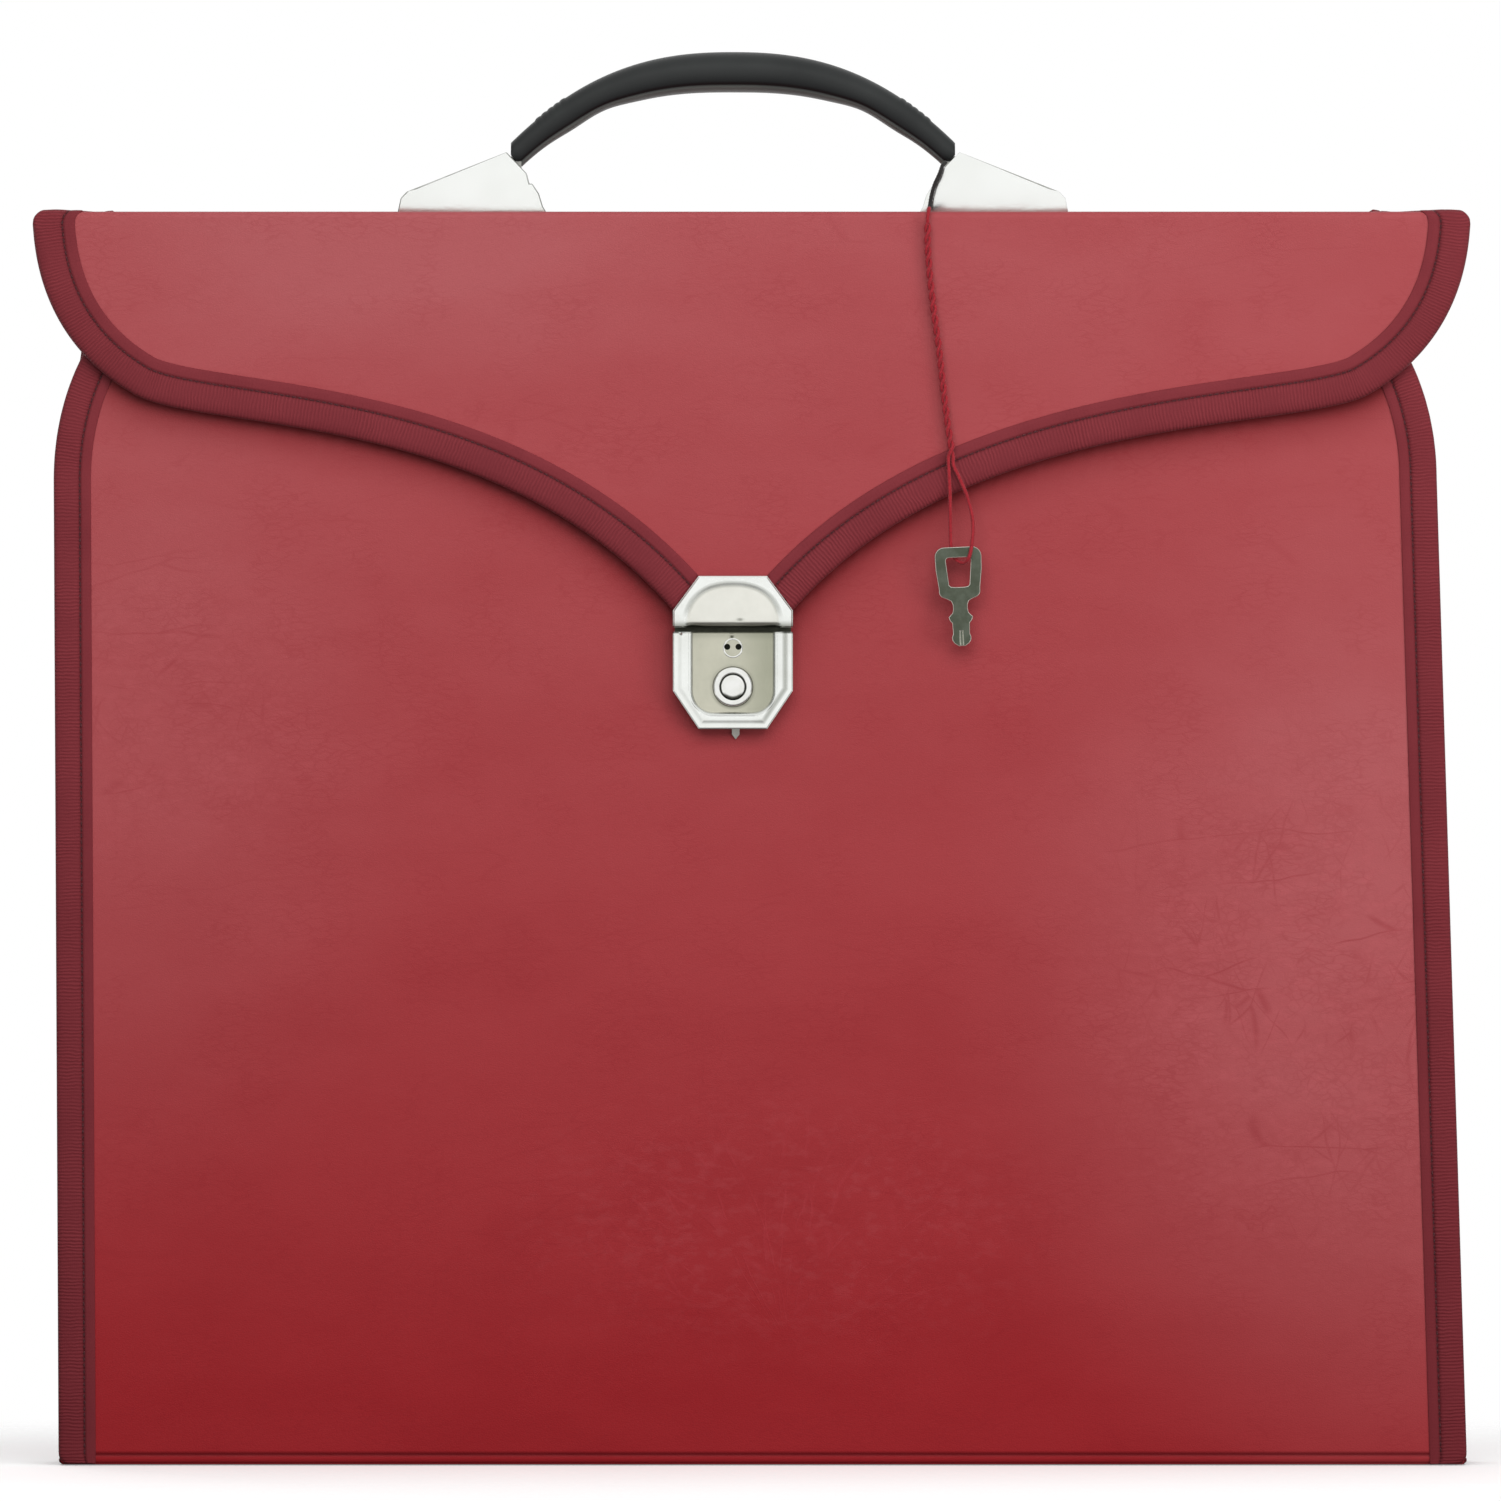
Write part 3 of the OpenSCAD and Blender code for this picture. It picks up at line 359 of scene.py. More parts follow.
def twisted(name, path, radius, twist, values=None, sides=14, plies=3, relief=0.2):
    """A thread: a tube whose section has plies that wind round it. values holds one entry a point."""
    ways = aheads(path)
    across = ways[0].orthogonal().normalized()
    verts, uvs = [], []
    for p, ahead, reach in zip(path, ways, reaches(path)):
        across = (across - ahead * across.dot(ahead)).normalized()
        other = ahead.cross(across)
        turn = 2 * math.pi * reach / twist
        for k in range(sides):
            a = 2 * math.pi * k / sides
            r = radius * (1 - relief * (0.5 - 0.5 * math.cos(plies * (a - turn))))
            verts.append(p + (across * math.cos(a) + other * math.sin(a)) * r)
            uvs.append((reach * MM, k / sides))
    rings = {key: [v for v in entries for _ in range(sides)] for key, entries in (values or {}).items()}
    return outward(add_mesh(name, verts, tube_faces(len(path), sides), uvs=uvs, values=rings))


def make_cords():
    upper = even(smooth_path(UPPER, 0.3), 0.25)
    # The cord is black along the bracket and crimson from the flap's face on
    crimson_run = [ease((-20.6 - p.y) / 1.2) for p in upper]
    dark = twisted("thread_dark", upper, 0.62, 2.6, {"crimson_run": crimson_run})
    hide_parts("thread_upper", "thread_bend")

    # One thread, doubled: down, through the key's bow and back up, its two runs wound together
    middle = even(smooth_path(PAIR, 0.4), 0.3)
    reach = reaches(middle)
    helix_r, pitch = 0.58, 6.5

    def strand(phase):
        out = []
        for p, run in zip(middle, reach):
            a = phase + 2 * math.pi * (reach[-1] - run) / pitch
            out.append(p + Vector((helix_r * math.cos(a), helix_r * 0.9 * math.sin(a), 0)))
        return out

    joined = strand(math.pi)[:-1] + [Vector(p) for p in LOOP] + list(reversed(strand(0.0)[:-1]))
    clean = [joined[0]]
    for p in joined[1:]:
        if (p - clean[-1]).length > 0.12:
            clean.append(p)
    route = even(smooth_path(clean, 0.4), 0.28)
    red = twisted("thread_red", route, 0.6, 2.4)
    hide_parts("thread_pair", "thread_loop")
    return dark, upper, red, route


dark_cord, dark_path, red_cord, red_path = make_cords()


# Leathercloth
def wave(x, z, seed):
    """Slow unevenness of a sheet glued on board, in mm."""
    slow = noise.noise(Vector((x * 0.011, z * 0.013, seed)))
    return 0.16 * slow + 0.05 * noise.noise(Vector((x * 0.045, z * 0.06, seed + 7)))


def round_under(z, r):
    """How far a rounded lower edge of radius r draws in at height z."""
    low = max(0.0, r - z)
    return r - math.sqrt(max(0.0, r * r - low * low))


def spaced(left, right, count):
    return [lerp(left, right, k / (count - 1)) for k in range(count)]


def side_name(side):
    return "left" if side < 0 else "right"


def front_sheet(cols=190):
    """Front cloth: a sheet that rounds under at its lower edge."""
    rows = [0.0, 0.12, 0.3, 0.55, 0.85, 1.2, 1.6, 2.0, 2.3, 2.6, 2.9, 3.3, 4.0, 5.0]
    rows += [float(z) for z in np.linspace(7, CORNER_Z, 130)]
    rows += [CORNER_Z + (CORNER_H - INSET) * math.sin(a) for a in np.linspace(0, math.pi / 2, 40)[1:]]
    hem = np.array(flap_edge(-1, 60) + list(reversed(flap_edge(1, 60))))
    verts, unfaded_and_flap_shadow = [], []
    for z in rows:
        left, right = edge_x(-1, min(z, CORNER_Z)), edge_x(1, min(z, CORNER_Z))
        c = math.sqrt(max(0.0, 1 - (max(0.0, z - CORNER_Z) / (CORNER_H - INSET)) ** 2))
        draw = CORNER_W - (CORNER_W - INSET) * c
        for x in spaced(left + draw, right - draw, cols):
            inside = ease(min((x - left - draw) / 14, (right - draw - x) / 14))
            y = FRONT_Y - wave(x, z, 3.1) * inside * ease(z / 20) * ease((FRONT_TOP - z) / 10)
            y += round_under(z, FOLD_R) + 0.16 * math.exp(-((z - 2.75) / 0.35) ** 2)
            verts.append((x, y, z))
            # 1 under the flap, where the cloth is unfaded, and a painted shadow of the flap that falls off
            # below its edge
            above = z > np.interp(x, hem[:, 0], hem[:, 1])
            away = float(np.min(np.hypot(hem[:, 0] - x, hem[:, 1] - z)))
            unfaded_and_flap_shadow.append(1.0 if above else math.exp(-(away / 6.0) ** 1.4))
    obj = add_mesh("front_leather", verts, grid_faces(len(rows), cols), values={"unfaded_and_flap_shadow": unfaded_and_flap_shadow})
    thicken(obj, CLOTH_T)
    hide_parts("front_cover")
    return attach(obj, "case")


def round_in(z, r=3.4):
    """How far a rounded corner draws in at height z below the top."""
    up = min(r, max(0.0, z - (CASE_H - r)))
    return 0.75 * (r - math.sqrt(max(0.0, r * r - up * up)))


def fold_profile(y, front, steps=9):
    """Points round the fold at one long edge of the top, from the upright face to the top."""
    out = []
    for i in range(steps + 1):
        a = math.pi / 2 * i / steps
        out.append((y - front * FOLD_R * (1 - math.cos(a)), CASE_H - FOLD_R * (1 - math.sin(a))))
    return out


def flap_wrap(down=64):
    """Cloth of the top and the flap, one sheet over the front edge."""
    edge = flap_edge(-1) + list(reversed(flap_edge(1)))
    line = even([Vector((x, 0, z)) for x, z in edge], 1.9)
    reach = HALF_FLAP - 0.9
    low = []
    for p, ahead in zip(line, aheads(line)):
        q = p + Vector((-ahead.z, 0, ahead.x)) * 0.9
        low.append((max(-reach, min(reach, q.x)), min(q.z, BACK_TOP - 0.2)))
    verts = []
    for r in range(down):
        for x, z in low:
            zz = lerp(z, CASE_H - FOLD_R, r / (down - 1))
            deep = ease((zz - z) / 14) * ease((CASE_H - 3 - zz) / 12)
            verts.append((x * (1 - round_in(zz) / HALF_FLAP), FLAP_Y - wave(x, zz, 9.4) * deep, zz))
    for y, z in fold_profile(FLAP_Y, -1)[1:]:
        verts += [(x * (1 - (round_in(z) + 0.3) / HALF_FLAP), y, z) for x, _ in low]
    for y in (FLAP_Y + FOLD_R + 1.0, -16.5, -14, -11, -8, -5, -2, 1, 4, 7, 10, 13, 16, TOP_END_Y):
        draw = round_in(CASE_H) * max(0.0, min(0.85, (FLAP_Y + 5.0 - y) / 2.7)) + 0.9
        deep = ease((y - FLAP_Y - 2) / 8) * ease((TOP_END_Y - y) / 8)
        for x, _ in low:
            xx = lerp(top_edge_x(-1, y) + draw, top_edge_x(1, y) - draw, (x + reach) / (2 * reach))
            verts.append((xx, y, CASE_H + 0.5 * wave(xx, y, 5.5) * deep))
    obj = add_mesh("flap_leather", verts, grid_faces(len(verts) // len(low), len(low)))
    thicken(obj, CLOTH_T)
    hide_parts("top_cover", "flap_fold_cloth", "flap_cover")
    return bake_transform(obj)


def back_wrap(cols=150):
    """Cloth of the back, folded over the top's rear edge."""
    rows = [0.0, 0.12, 0.3, 0.55, 0.85, 1.2, 1.6, 2.0, 2.6, 3.3, 5.0]
    rows += [float(z) for z in np.linspace(8, CASE_H - FOLD_R, 90)]
    verts = []
    for z in rows:
        left, right = back_x(-1, min(z, BACK_TOP)) + INSET, back_x(1, min(z, BACK_TOP)) - INSET
        for x in spaced(left, right, cols):
            inside = ease(min((x - left) / 14, (right - x) / 14))
            y = BACK_Y + wave(x, z, 21.7) * inside * ease(z / 20) * ease((352 - z) / 14)
            verts.append((x, y - round_under(z, FOLD_R), z))
    for y, z in fold_profile(BACK_Y, 1)[1:]:
        verts += [(x, y, z) for x in spaced(left, right, cols)]
    for y in (20.8, TOP_END_Y):
        verts += [(x, y, CASE_H) for x in spaced(top_edge_x(-1, y) + 0.9, top_edge_x(1, y) - 0.9, cols)]
    obj = add_mesh("back_leather", verts, grid_faces(len(verts) // cols, cols))
    thicken(obj, CLOTH_T, offset=1)
    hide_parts("back_cover", "back_fold_cloth")
    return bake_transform(obj)


def base_sheet(cols=120, rows=16):
    """Cloth under the base, pulled flat between the two end tapes."""
    verts = []
    for y in spaced(FRONT_Y + 0.75, BACK_Y - 0.75, rows):
        verts += [(x, y, 0.0) for x in spaced(edge_x(-1, 0) + 1.2, edge_x(1, 0) - 1.2, cols)]
    obj = add_mesh("base_leather", verts, grid_faces(rows, cols))
    thicken(obj, CLOTH_T, offset=1)
    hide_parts("bottom_cover")
    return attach(obj, "case")


def gusset(side):
    """Cloth side wall: it leaves the front tape, turns in, and comes out to the back tape."""
    yf, yb = FRONT_Y + 1.2, BACK_Y - 1.2
    section = [(0.8, yf, 0), (3, yf, 0), (5.5, yf, 0.05), (7.6, yf + 0.15, 0.2), (8.9, yf + 0.8, 0.5),
               (9.6, yf + 1.9, 0.8), (9.9, yf + 3.6, 1.0)]
    inner = 15
    for i in range(1, inner):
        t = i / inner
        section.append((9.9 + 1.5 * math.sin(math.pi * t) ** 2, lerp(yf + 3.6, yb - 3.6, t), 1.0))
    section += [(9.9, yb - 3.6, 1.0), (9.6, yb - 1.9, 1.0), (8.9, yb - 0.8, 1.0), (7.6, yb - 0.15, 1.0),
                (5.5, yb, 1.0), (3, yb, 1.0), (0.8, yb, 1.0)]
    tall = 120
    verts = []
    for r in range(tall + 7):
        for inset, y, up in section:
            share = (y - yf) / (yb - yf)
            top = lerp(CORNER_Z, lerp(314, 340, share), up)
            if r < 7:
                k = r / 6
                z = 1.2 + (2.6 * (1 - math.cos(math.pi / 2 * max(0, (k - 0.4) / 0.6))))
                scale = min(1.0, 0.05 + 0.95 * math.sin(math.pi / 2 * k))
            else:
                k = (r - 6) / tall
                z = lerp(3.8, top, k)
                scale = 1.0
            d = INSET + (inset - INSET) * scale
            ripple = 0.0
            if inset > 9:
                ripple = 0.55 * noise.noise(Vector((y * 0.16, z * 0.03, 40 + side)))
                ripple += 0.16 * noise.noise(Vector((y * 0.5, z * 0.16, 80 + side)))
            verts.append((back_x(side, z) - side * (d + ripple * scale), y, z))
    obj = add_mesh("gusset_leather_" + side_name(side), verts, grid_faces(tall + 7, len(section)))
    thicken(obj, CLOTH_T, offset=0)
    outward(obj)
    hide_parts("gusset_left" if side < 0 else "gusset_right")
    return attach(obj, "case")


leathers = [front_sheet(), flap_wrap(), back_wrap(), base_sheet(), gusset(-1), gusset(1)]


# Binding tape
FORWARD, REARWARD, UP = Vector((0, -1, 0)), Vector((0, 1, 0)), Vector((0, 0, 1))


def tape_section(w, w2, t, puff):
    """Outline of the tape's section: distance from the edge, and height over the cloth."""
    r = (t + 0.62 * puff + 0.55) / 2
    mid = 0.62 * puff - r
    top = [
        (w, 0.04), (w, 0.28), (w - 0.25, 0.42), (0.86 * w, 0.46), (0.78 * w, 0.44), (0.735 * w, 0.40),
        (0.715 * w, 0.12), (0.685 * w, 0.14), (0.66 * w, 0.46), (0.60 * w, 0.60 * puff),
        (0.50 * w, 0.74 * puff), (0.38 * w, 0.80 * puff), (0.27 * w, 0.78 * puff),
        (0.18 * w, 0.71 * puff),
    ]
    round_r = min(r, 0.16 * w)
    bend = []
    for i in range(9):
        a = math.pi / 2 - math.pi * i / 8
        bend.append((round_r * (1 - math.cos(a)), mid + r * math.sin(a)))
    back = [(0.3 * w2, -t - 0.55), (0.6 * w2, -t - 0.55), (w2 - 0.2, -t - 0.5), (w2, -t - 0.3),
            (w2, -t - 0.03)]
    inner = [(0.6 * w2, -t - 0.02), (1.6, -t), (0.9, -t + 0.25), (0.75, -t / 2), (0.9, -0.2), (1.8, 0.02),
             (0.6 * w, 0.03)]
    return top + bend + back + inner


def station(at, inward, out, w, w2, t, puff=1.0):
    """One place of a tape: edge point, its two ways, the widths of its legs, and what it is folded round."""
    return {"at": Vector(at), "in": Vector(inward), "out": Vector(out),
            "w": w, "w2": w2, "t": t, "puff": puff}


def tape(name, stations, cut=None):
    """A folded tape along an edge; cut is a point and a way, and what lies beyond is taken off."""
    verts, uvs, places, grooves = [], [], [], []
    for s, length in zip(stations, reaches([s["at"] for s in stations])):
        ring = tape_section(s["w"], s["w2"], s["t"], s["puff"])
        across = 0.0
        for k, (d, h) in enumerate(ring):
            if k:
                across += math.hypot(d - ring[k - 1][0], h - ring[k - 1][1])
            verts.append(s["at"] + s["in"] * d + s["out"] * h)
            uvs.append((length * MM, across * MM))
            places.append(1.0 if k < 6 else 0.0)
            grooves.append({5: 0.35, 6: 1.0, 7: 1.0, 8: 0.25}.get(k, 0.0))
    faces = tube_faces(len(stations), len(ring))
    obj = outward(add_mesh(name, verts, faces, uvs=uvs, values={"plain": places, "groove": grooves}))
    if cut:
        bm = bmesh.new()
        bm.from_mesh(obj.data)
        got = bmesh.ops.bisect_plane(bm, geom=bm.verts[:] + bm.edges[:] + bm.faces[:],
                                     plane_co=cut[0] * MM, plane_no=cut[1], clear_outer=True)
        bmesh.ops.holes_fill(bm, edges=[e for e in got["geom_cut"] if isinstance(e, bmesh.types.BMEdge)])
        bm.to_mesh(obj.data)
        bm.free()
    return obj


def inward_ways(points, outs):
    """Ways square to a line and to its outward ways."""
    return [out.cross(ahead).normalized() for out, ahead in zip(outs, aheads(points))]


def stitches(name, stations, pitch=1.75, skip=None):
    """One row of lockstitches: each a short sunk bead of thread that dips at both ends."""
    points = [s["at"] + s["in"] * (s["w"] * STITCH_SHARE) + s["out"] * STITCH_LIFT for s in stations]
    reach = reaches(points)
    verts, faces = [], []
    steps, sides = 5, 6
    j = 0

    def at(d):
        nonlocal j
        while j < len(points) - 2 and reach[j + 1] < d:
            j += 1
        t = (d - reach[j]) / max(1e-9, reach[j + 1] - reach[j])
        up = stations[j]["out"].lerp(stations[j + 1]["out"], t)
        return points[j].lerp(points[j + 1], t), up.normalized()

    for k in range(int(reach[-1] / pitch)):
        base = len(verts)
        left_out = False
        for i in range(steps):
            u = i / (steps - 1)
            d = (k + 0.14) * pitch + u * pitch * 0.72
            p, up = at(d)
            ahead = at(min(reach[-1], d + 0.05))[0] - p
            ahead = ahead.normalized() if ahead.length > 1e-9 else Vector((0, 0, 1))
            across = up.cross(ahead).normalized()
            r = 0.19 * (0.6 + 0.4 * math.sin(math.pi * u))
            dip = -0.16 * (2 * u - 1) ** 4
            left_out = left_out or bool(skip and skip(p))
            for m in range(sides):
                a = 2 * math.pi * m / sides
                verts.append(p + up * (dip + r * math.sin(a)) + across * (r * math.cos(a)))
        if left_out:
            del verts[base:]
        else:
            faces += tube_faces(steps, sides, start=base)
    return outward(add_mesh(name, verts, faces))


def front_tape():
    """One tape up the left side, round the top and down the right side of the front panel."""
    flat = [(edge_x(-1, 6), 6.0)] + corner(-1, 0, 30)
    flat += list(reversed(corner(1, 0, 30))) + [(edge_x(1, 6), 6.0)]
    foot = [0.25, 0.5, 0.9, 1.4, 2.0, 2.7, 3.5, 4.6]
    line = [Vector((edge_x(-1, z), 0, z)) for z in foot]
    line += even([Vector((x, 0, z)) for x, z in flat], 2.0)
    line += [Vector((edge_x(1, z), 0, z)) for z in reversed(foot)]
    stations = []
    for p, inward in zip(line, inward_ways(line, [FORWARD] * len(line))):
        inward = -inward if inward.dot(Vector((0.0 - p.x, 0, 170 - p.z))) < 0 else inward
        draw = 0.8 * round_under(p.z, FOOT_R)
        at = p + inward * draw
        puff = 1.0 - 0.4 * (max(0.0, FOOT_R - p.z) / FOOT_R) ** 3
        stations.append(station((at.x, FRONT_Y, p.z), inward, FORWARD, BODY_TAPE - draw,
                                INNER_LEG - draw, 1.6, puff))
    obj = tape("front_tape", stations)
    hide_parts("front_binding")
    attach(obj, "case")
    seam = stitches("front_stitching", stations[5:-5])
    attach(seam, "case")
    return obj, seam


def fold_points(y, front, x0, side, w, steps=9):
    """Marks round a fold; the edge rounds in at the top by side's share."""
    out = []
    for i in range(1, steps):
        a = math.pi / 2 * i / steps
        z = CASE_H - FOLD_R * (1 - math.sin(a))
        out.append((Vector((x0 - side * round_in(z), y - front * FOLD_R * (1 - math.cos(a)), z)),
                    Vector((0, front * math.cos(a), math.sin(a))), 0.8, w))
    return out


def top_mark(side, y, t=3.2, w=12.0, draw=0.0):
    """A mark on the top's end. A mark is edge point, outward way, stack and width."""
    return (Vector((top_edge_x(side, y) - draw, y, CASE_H)), UP, t, w)


def top_run(side, y, way):
    """Marks every 2 mm along the top's end as far as the seam."""
    out = []
    while (SEAM_Y - y) * way > 0.5:
        out.append(top_mark(side, y))
        y += 2.0 * way
    return out + [top_mark(side, SEAM_Y)]


def flap_tape(side):
    """Tape of one side of the flap, over the front fold and on along the top's end."""
    line = even([Vector((x, FLAP_Y, z)) for x, z in reversed(flap_edge(side, 48))], 1.8)
    marks = [(p, FORWARD, 2.7, FLAP_TAPE) for p in line if p.z < CASE_H - 5.2]
    x0, draw = side * HALF_FLAP, side * round_in(CASE_H)
    marks.append((Vector((x0, FLAP_Y, CASE_H - 3.6)), FORWARD, 1.2, FLAP_TAPE))
    turn = Vector((x0 - side * round_in(CASE_H - 2.2), FLAP_Y, CASE_H - 2.2))
    marks.append((turn, FORWARD, 0.8, FLAP_TAPE))
    marks += fold_points(FLAP_Y, -1, x0, side, FLAP_TAPE)
    marks.append((Vector((x0 - draw * 0.85, FLAP_Y + 2.3, CASE_H)), UP, 0.8, FLAP_TAPE))
    marks.append(top_mark(side, FLAP_Y + 3.9, 1.3, FLAP_TAPE, draw * 0.3))
    marks += top_run(side, FLAP_Y + 6.2, 1)
    stations = []
    for (p, out, t, w), inward in zip(marks, inward_ways([m[0] for m in marks], [m[1] for m in marks])):
        if inward.x * side > 0 or (abs(inward.x) < 0.5 and inward.z < 0 and out.y < -0.5):
            inward = -inward
        if p.z > CASE_H - 5:
            inward = Vector((-side, 0, 0))
        near_fold = abs(p.z - CASE_H) < 6 and p.y < FLAP_Y + 7
        stations.append(station(p, inward, out, w, 10.5 if near_fold else 11.2, t, 0.8 if near_fold else 1.0))
    # The lock's upper plate covers the tip, and the tape ends on its slanted side
    hasp_side = FIT_X + side * LOCK_HALF
    corner_low = Vector((hasp_side, 0, HASP_Z + SHOULDER))
    corner_high = Vector((hasp_side - side * LOCK_CUT, 0, HASP_Z + HASP_H))
    along = (corner_high - corner_low).normalized()
    normal = Vector((-side * abs(along.z), 0, -abs(along.x)))
    cut_at = corner_low + Vector((-side * 0.25, 0, -0.2))
    name = side_name(side)
    obj = tape("flap_tape_" + name, stations, cut=(cut_at, normal))
    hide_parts("flap_binding_" + name, "top_binding_" + name, "flap_fold_tape")

    def hidden(p):
        return (p - cut_at).dot(normal) > -0.6

    seam = stitches("flap_stitching_" + name, stations, skip=hidden)
    for piece in (obj, seam):
        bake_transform(piece)
    return obj, seam


def back_tape(side):
    """Tape up one side of the back, over the rear fold and on along the top's end."""
    marks = []
    z = 0.35
    while z < CASE_H - 6:
        marks.append((Vector((back_x(side, z), BACK_Y, z)), REARWARD, 1.6, BODY_TAPE))
        z += 2.6
    x0 = back_x(side, BACK_TOP)
    marks.append((Vector((x0, BACK_Y, CASE_H - 4.0)), REARWARD, 1.2, BODY_TAPE))
    marks.append((Vector((x0, BACK_Y, CASE_H - 2.4)), REARWARD, 0.8, BODY_TAPE))
    marks += fold_points(BACK_Y, 1, x0, 0, BODY_TAPE)
    marks.append(top_mark(side, BACK_Y - 2.3, 0.8, 10.9))
    marks.append(top_mark(side, BACK_Y - 3.9, 1.3, 11.2))
    marks += top_run(side, BACK_Y - 6.2, -1)
    stations = []
    for (p, out, t, w), inward in zip(marks, inward_ways([m[0] for m in marks], [m[1] for m in marks])):
        if inward.x * side > 0:
            inward = -inward
        near_fold = p.z > CASE_H - 6 and p.y > BACK_Y - 7
        w2 = INNER_LEG if p.z < CASE_H - 6 else 10.5
        stations.append(station(p, inward, out, w, w2, t, 0.8 if near_fold else 1.0))
    name = side_name(side)
    obj = tape("back_tape_" + name, stations)
    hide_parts("back_binding_" + name, "back_fold_tape")
    seam = stitches("back_stitching_" + name, stations)
    for piece in (obj, seam):
        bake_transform(piece)
    return obj, seam


def base_tape(side):
    """Tape along one end of the base, from the front tape to the back tape."""
    stations = [station((edge_x(side, 0), y, 0.8), (-side, 0, 0), (0, 0, -1), BODY_TAPE, INNER_LEG, 0.8)
                for y in spaced(FRONT_Y + 2.6, BACK_Y - 2.6, 21)]
    name = side_name(side)
    obj = tape("base_tape_" + name, stations)
    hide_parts("bottom_binding_" + name)
    seam = stitches("base_stitching_" + name, stations)
    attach(obj, "case")
    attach(seam, "case")
    return obj, seam


tapes, seams = zip(front_tape(), flap_tape(-1), flap_tape(1), back_tape(-1), back_tape(1),
                   base_tape(-1), base_tape(1))


# Lock
def segment_distance(px, pz, a, b):
    ax, az, bx, bz = a[0], a[1], b[0], b[1]
    dx, dz = bx - ax, bz - az
    t = np.clip(((px - ax) * dx + (pz - az) * dz) / (dx * dx + dz * dz), 0, 1)
    return np.hypot(px - ax - t * dx, pz - az - t * dz)


def nearest_edge(x, z, outline):
    """Distance to the nearest side of an outline."""
    return np.minimum.reduce([segment_distance(x, z, a, b) for a, b in zip(outline, outline[1:])])


def step_up(value, start, end):
    t = np.clip((value - start) / (end - start), 0, 1)
    return t * t * (3 - 2 * t)


def relief_plate(name, low_of, high_of, height_of, base_out, step=0.15):
    """A pressed plate: a fine grid between two outlines, raised by a height, with a skirt to its base."""
    cols = int(2 * LOCK_HALF / step) + 1
    u = np.linspace(-LOCK_HALF, LOCK_HALF, cols)
    tall = float(np.max(high_of(u) - low_of(u)))
    rows = int(tall / step) + 1
    v = np.linspace(0, 1, rows)
    # rows and columns crowd towards the plate's edges, where it rounds over
    u = LOCK_HALF * np.sign(u) * (1 - (1 - np.abs(u) / LOCK_HALF) ** 1.12)
    uu, vv = np.meshgrid(u, v)
    lo, hi = low_of(uu), high_of(uu)
    zz = lo + (hi - lo) * vv
    out, marks = height_of(uu, zz)
    verts = [(FIT_X + float(x), FRONT_Y - float(h), float(z)) for x, z, h in
             zip(uu.ravel(), zz.ravel(), out.ravel())]
    faces = [f[::-1] for f in grid_faces(rows, cols)]
    loop = list(range(cols))
    loop += [r * cols + cols - 1 for r in range(1, rows)]
    loop += [(rows - 1) * cols + k for k in range(cols - 2, -1, -1)]
    loop += [r * cols for r in range(rows - 2, 0, -1)]
    start = len(verts)
    for k in loop:
        verts.append((verts[k][0], FRONT_Y - base_out, verts[k][2]))
    marks = {key: list(entry.ravel()) + [0.0] * len(loop) for key, entry in marks.items()}
    n = len(loop)
    for i in range(n):
        j = (i + 1) % n
        faces.append((loop[i], loop[j], start + j, start + i))
    faces.append(tuple(start + i for i in range(n)))
    obj = add_mesh(name, verts, faces, values=marks)
    outward(obj)
    return by_angle(obj, 42)


def hump(value, start, end):
    """0 outside a span and 1 at its middle."""
    t = np.clip((value - start) / (end - start), 0, 1)
    return 4 * t * (1 - t)


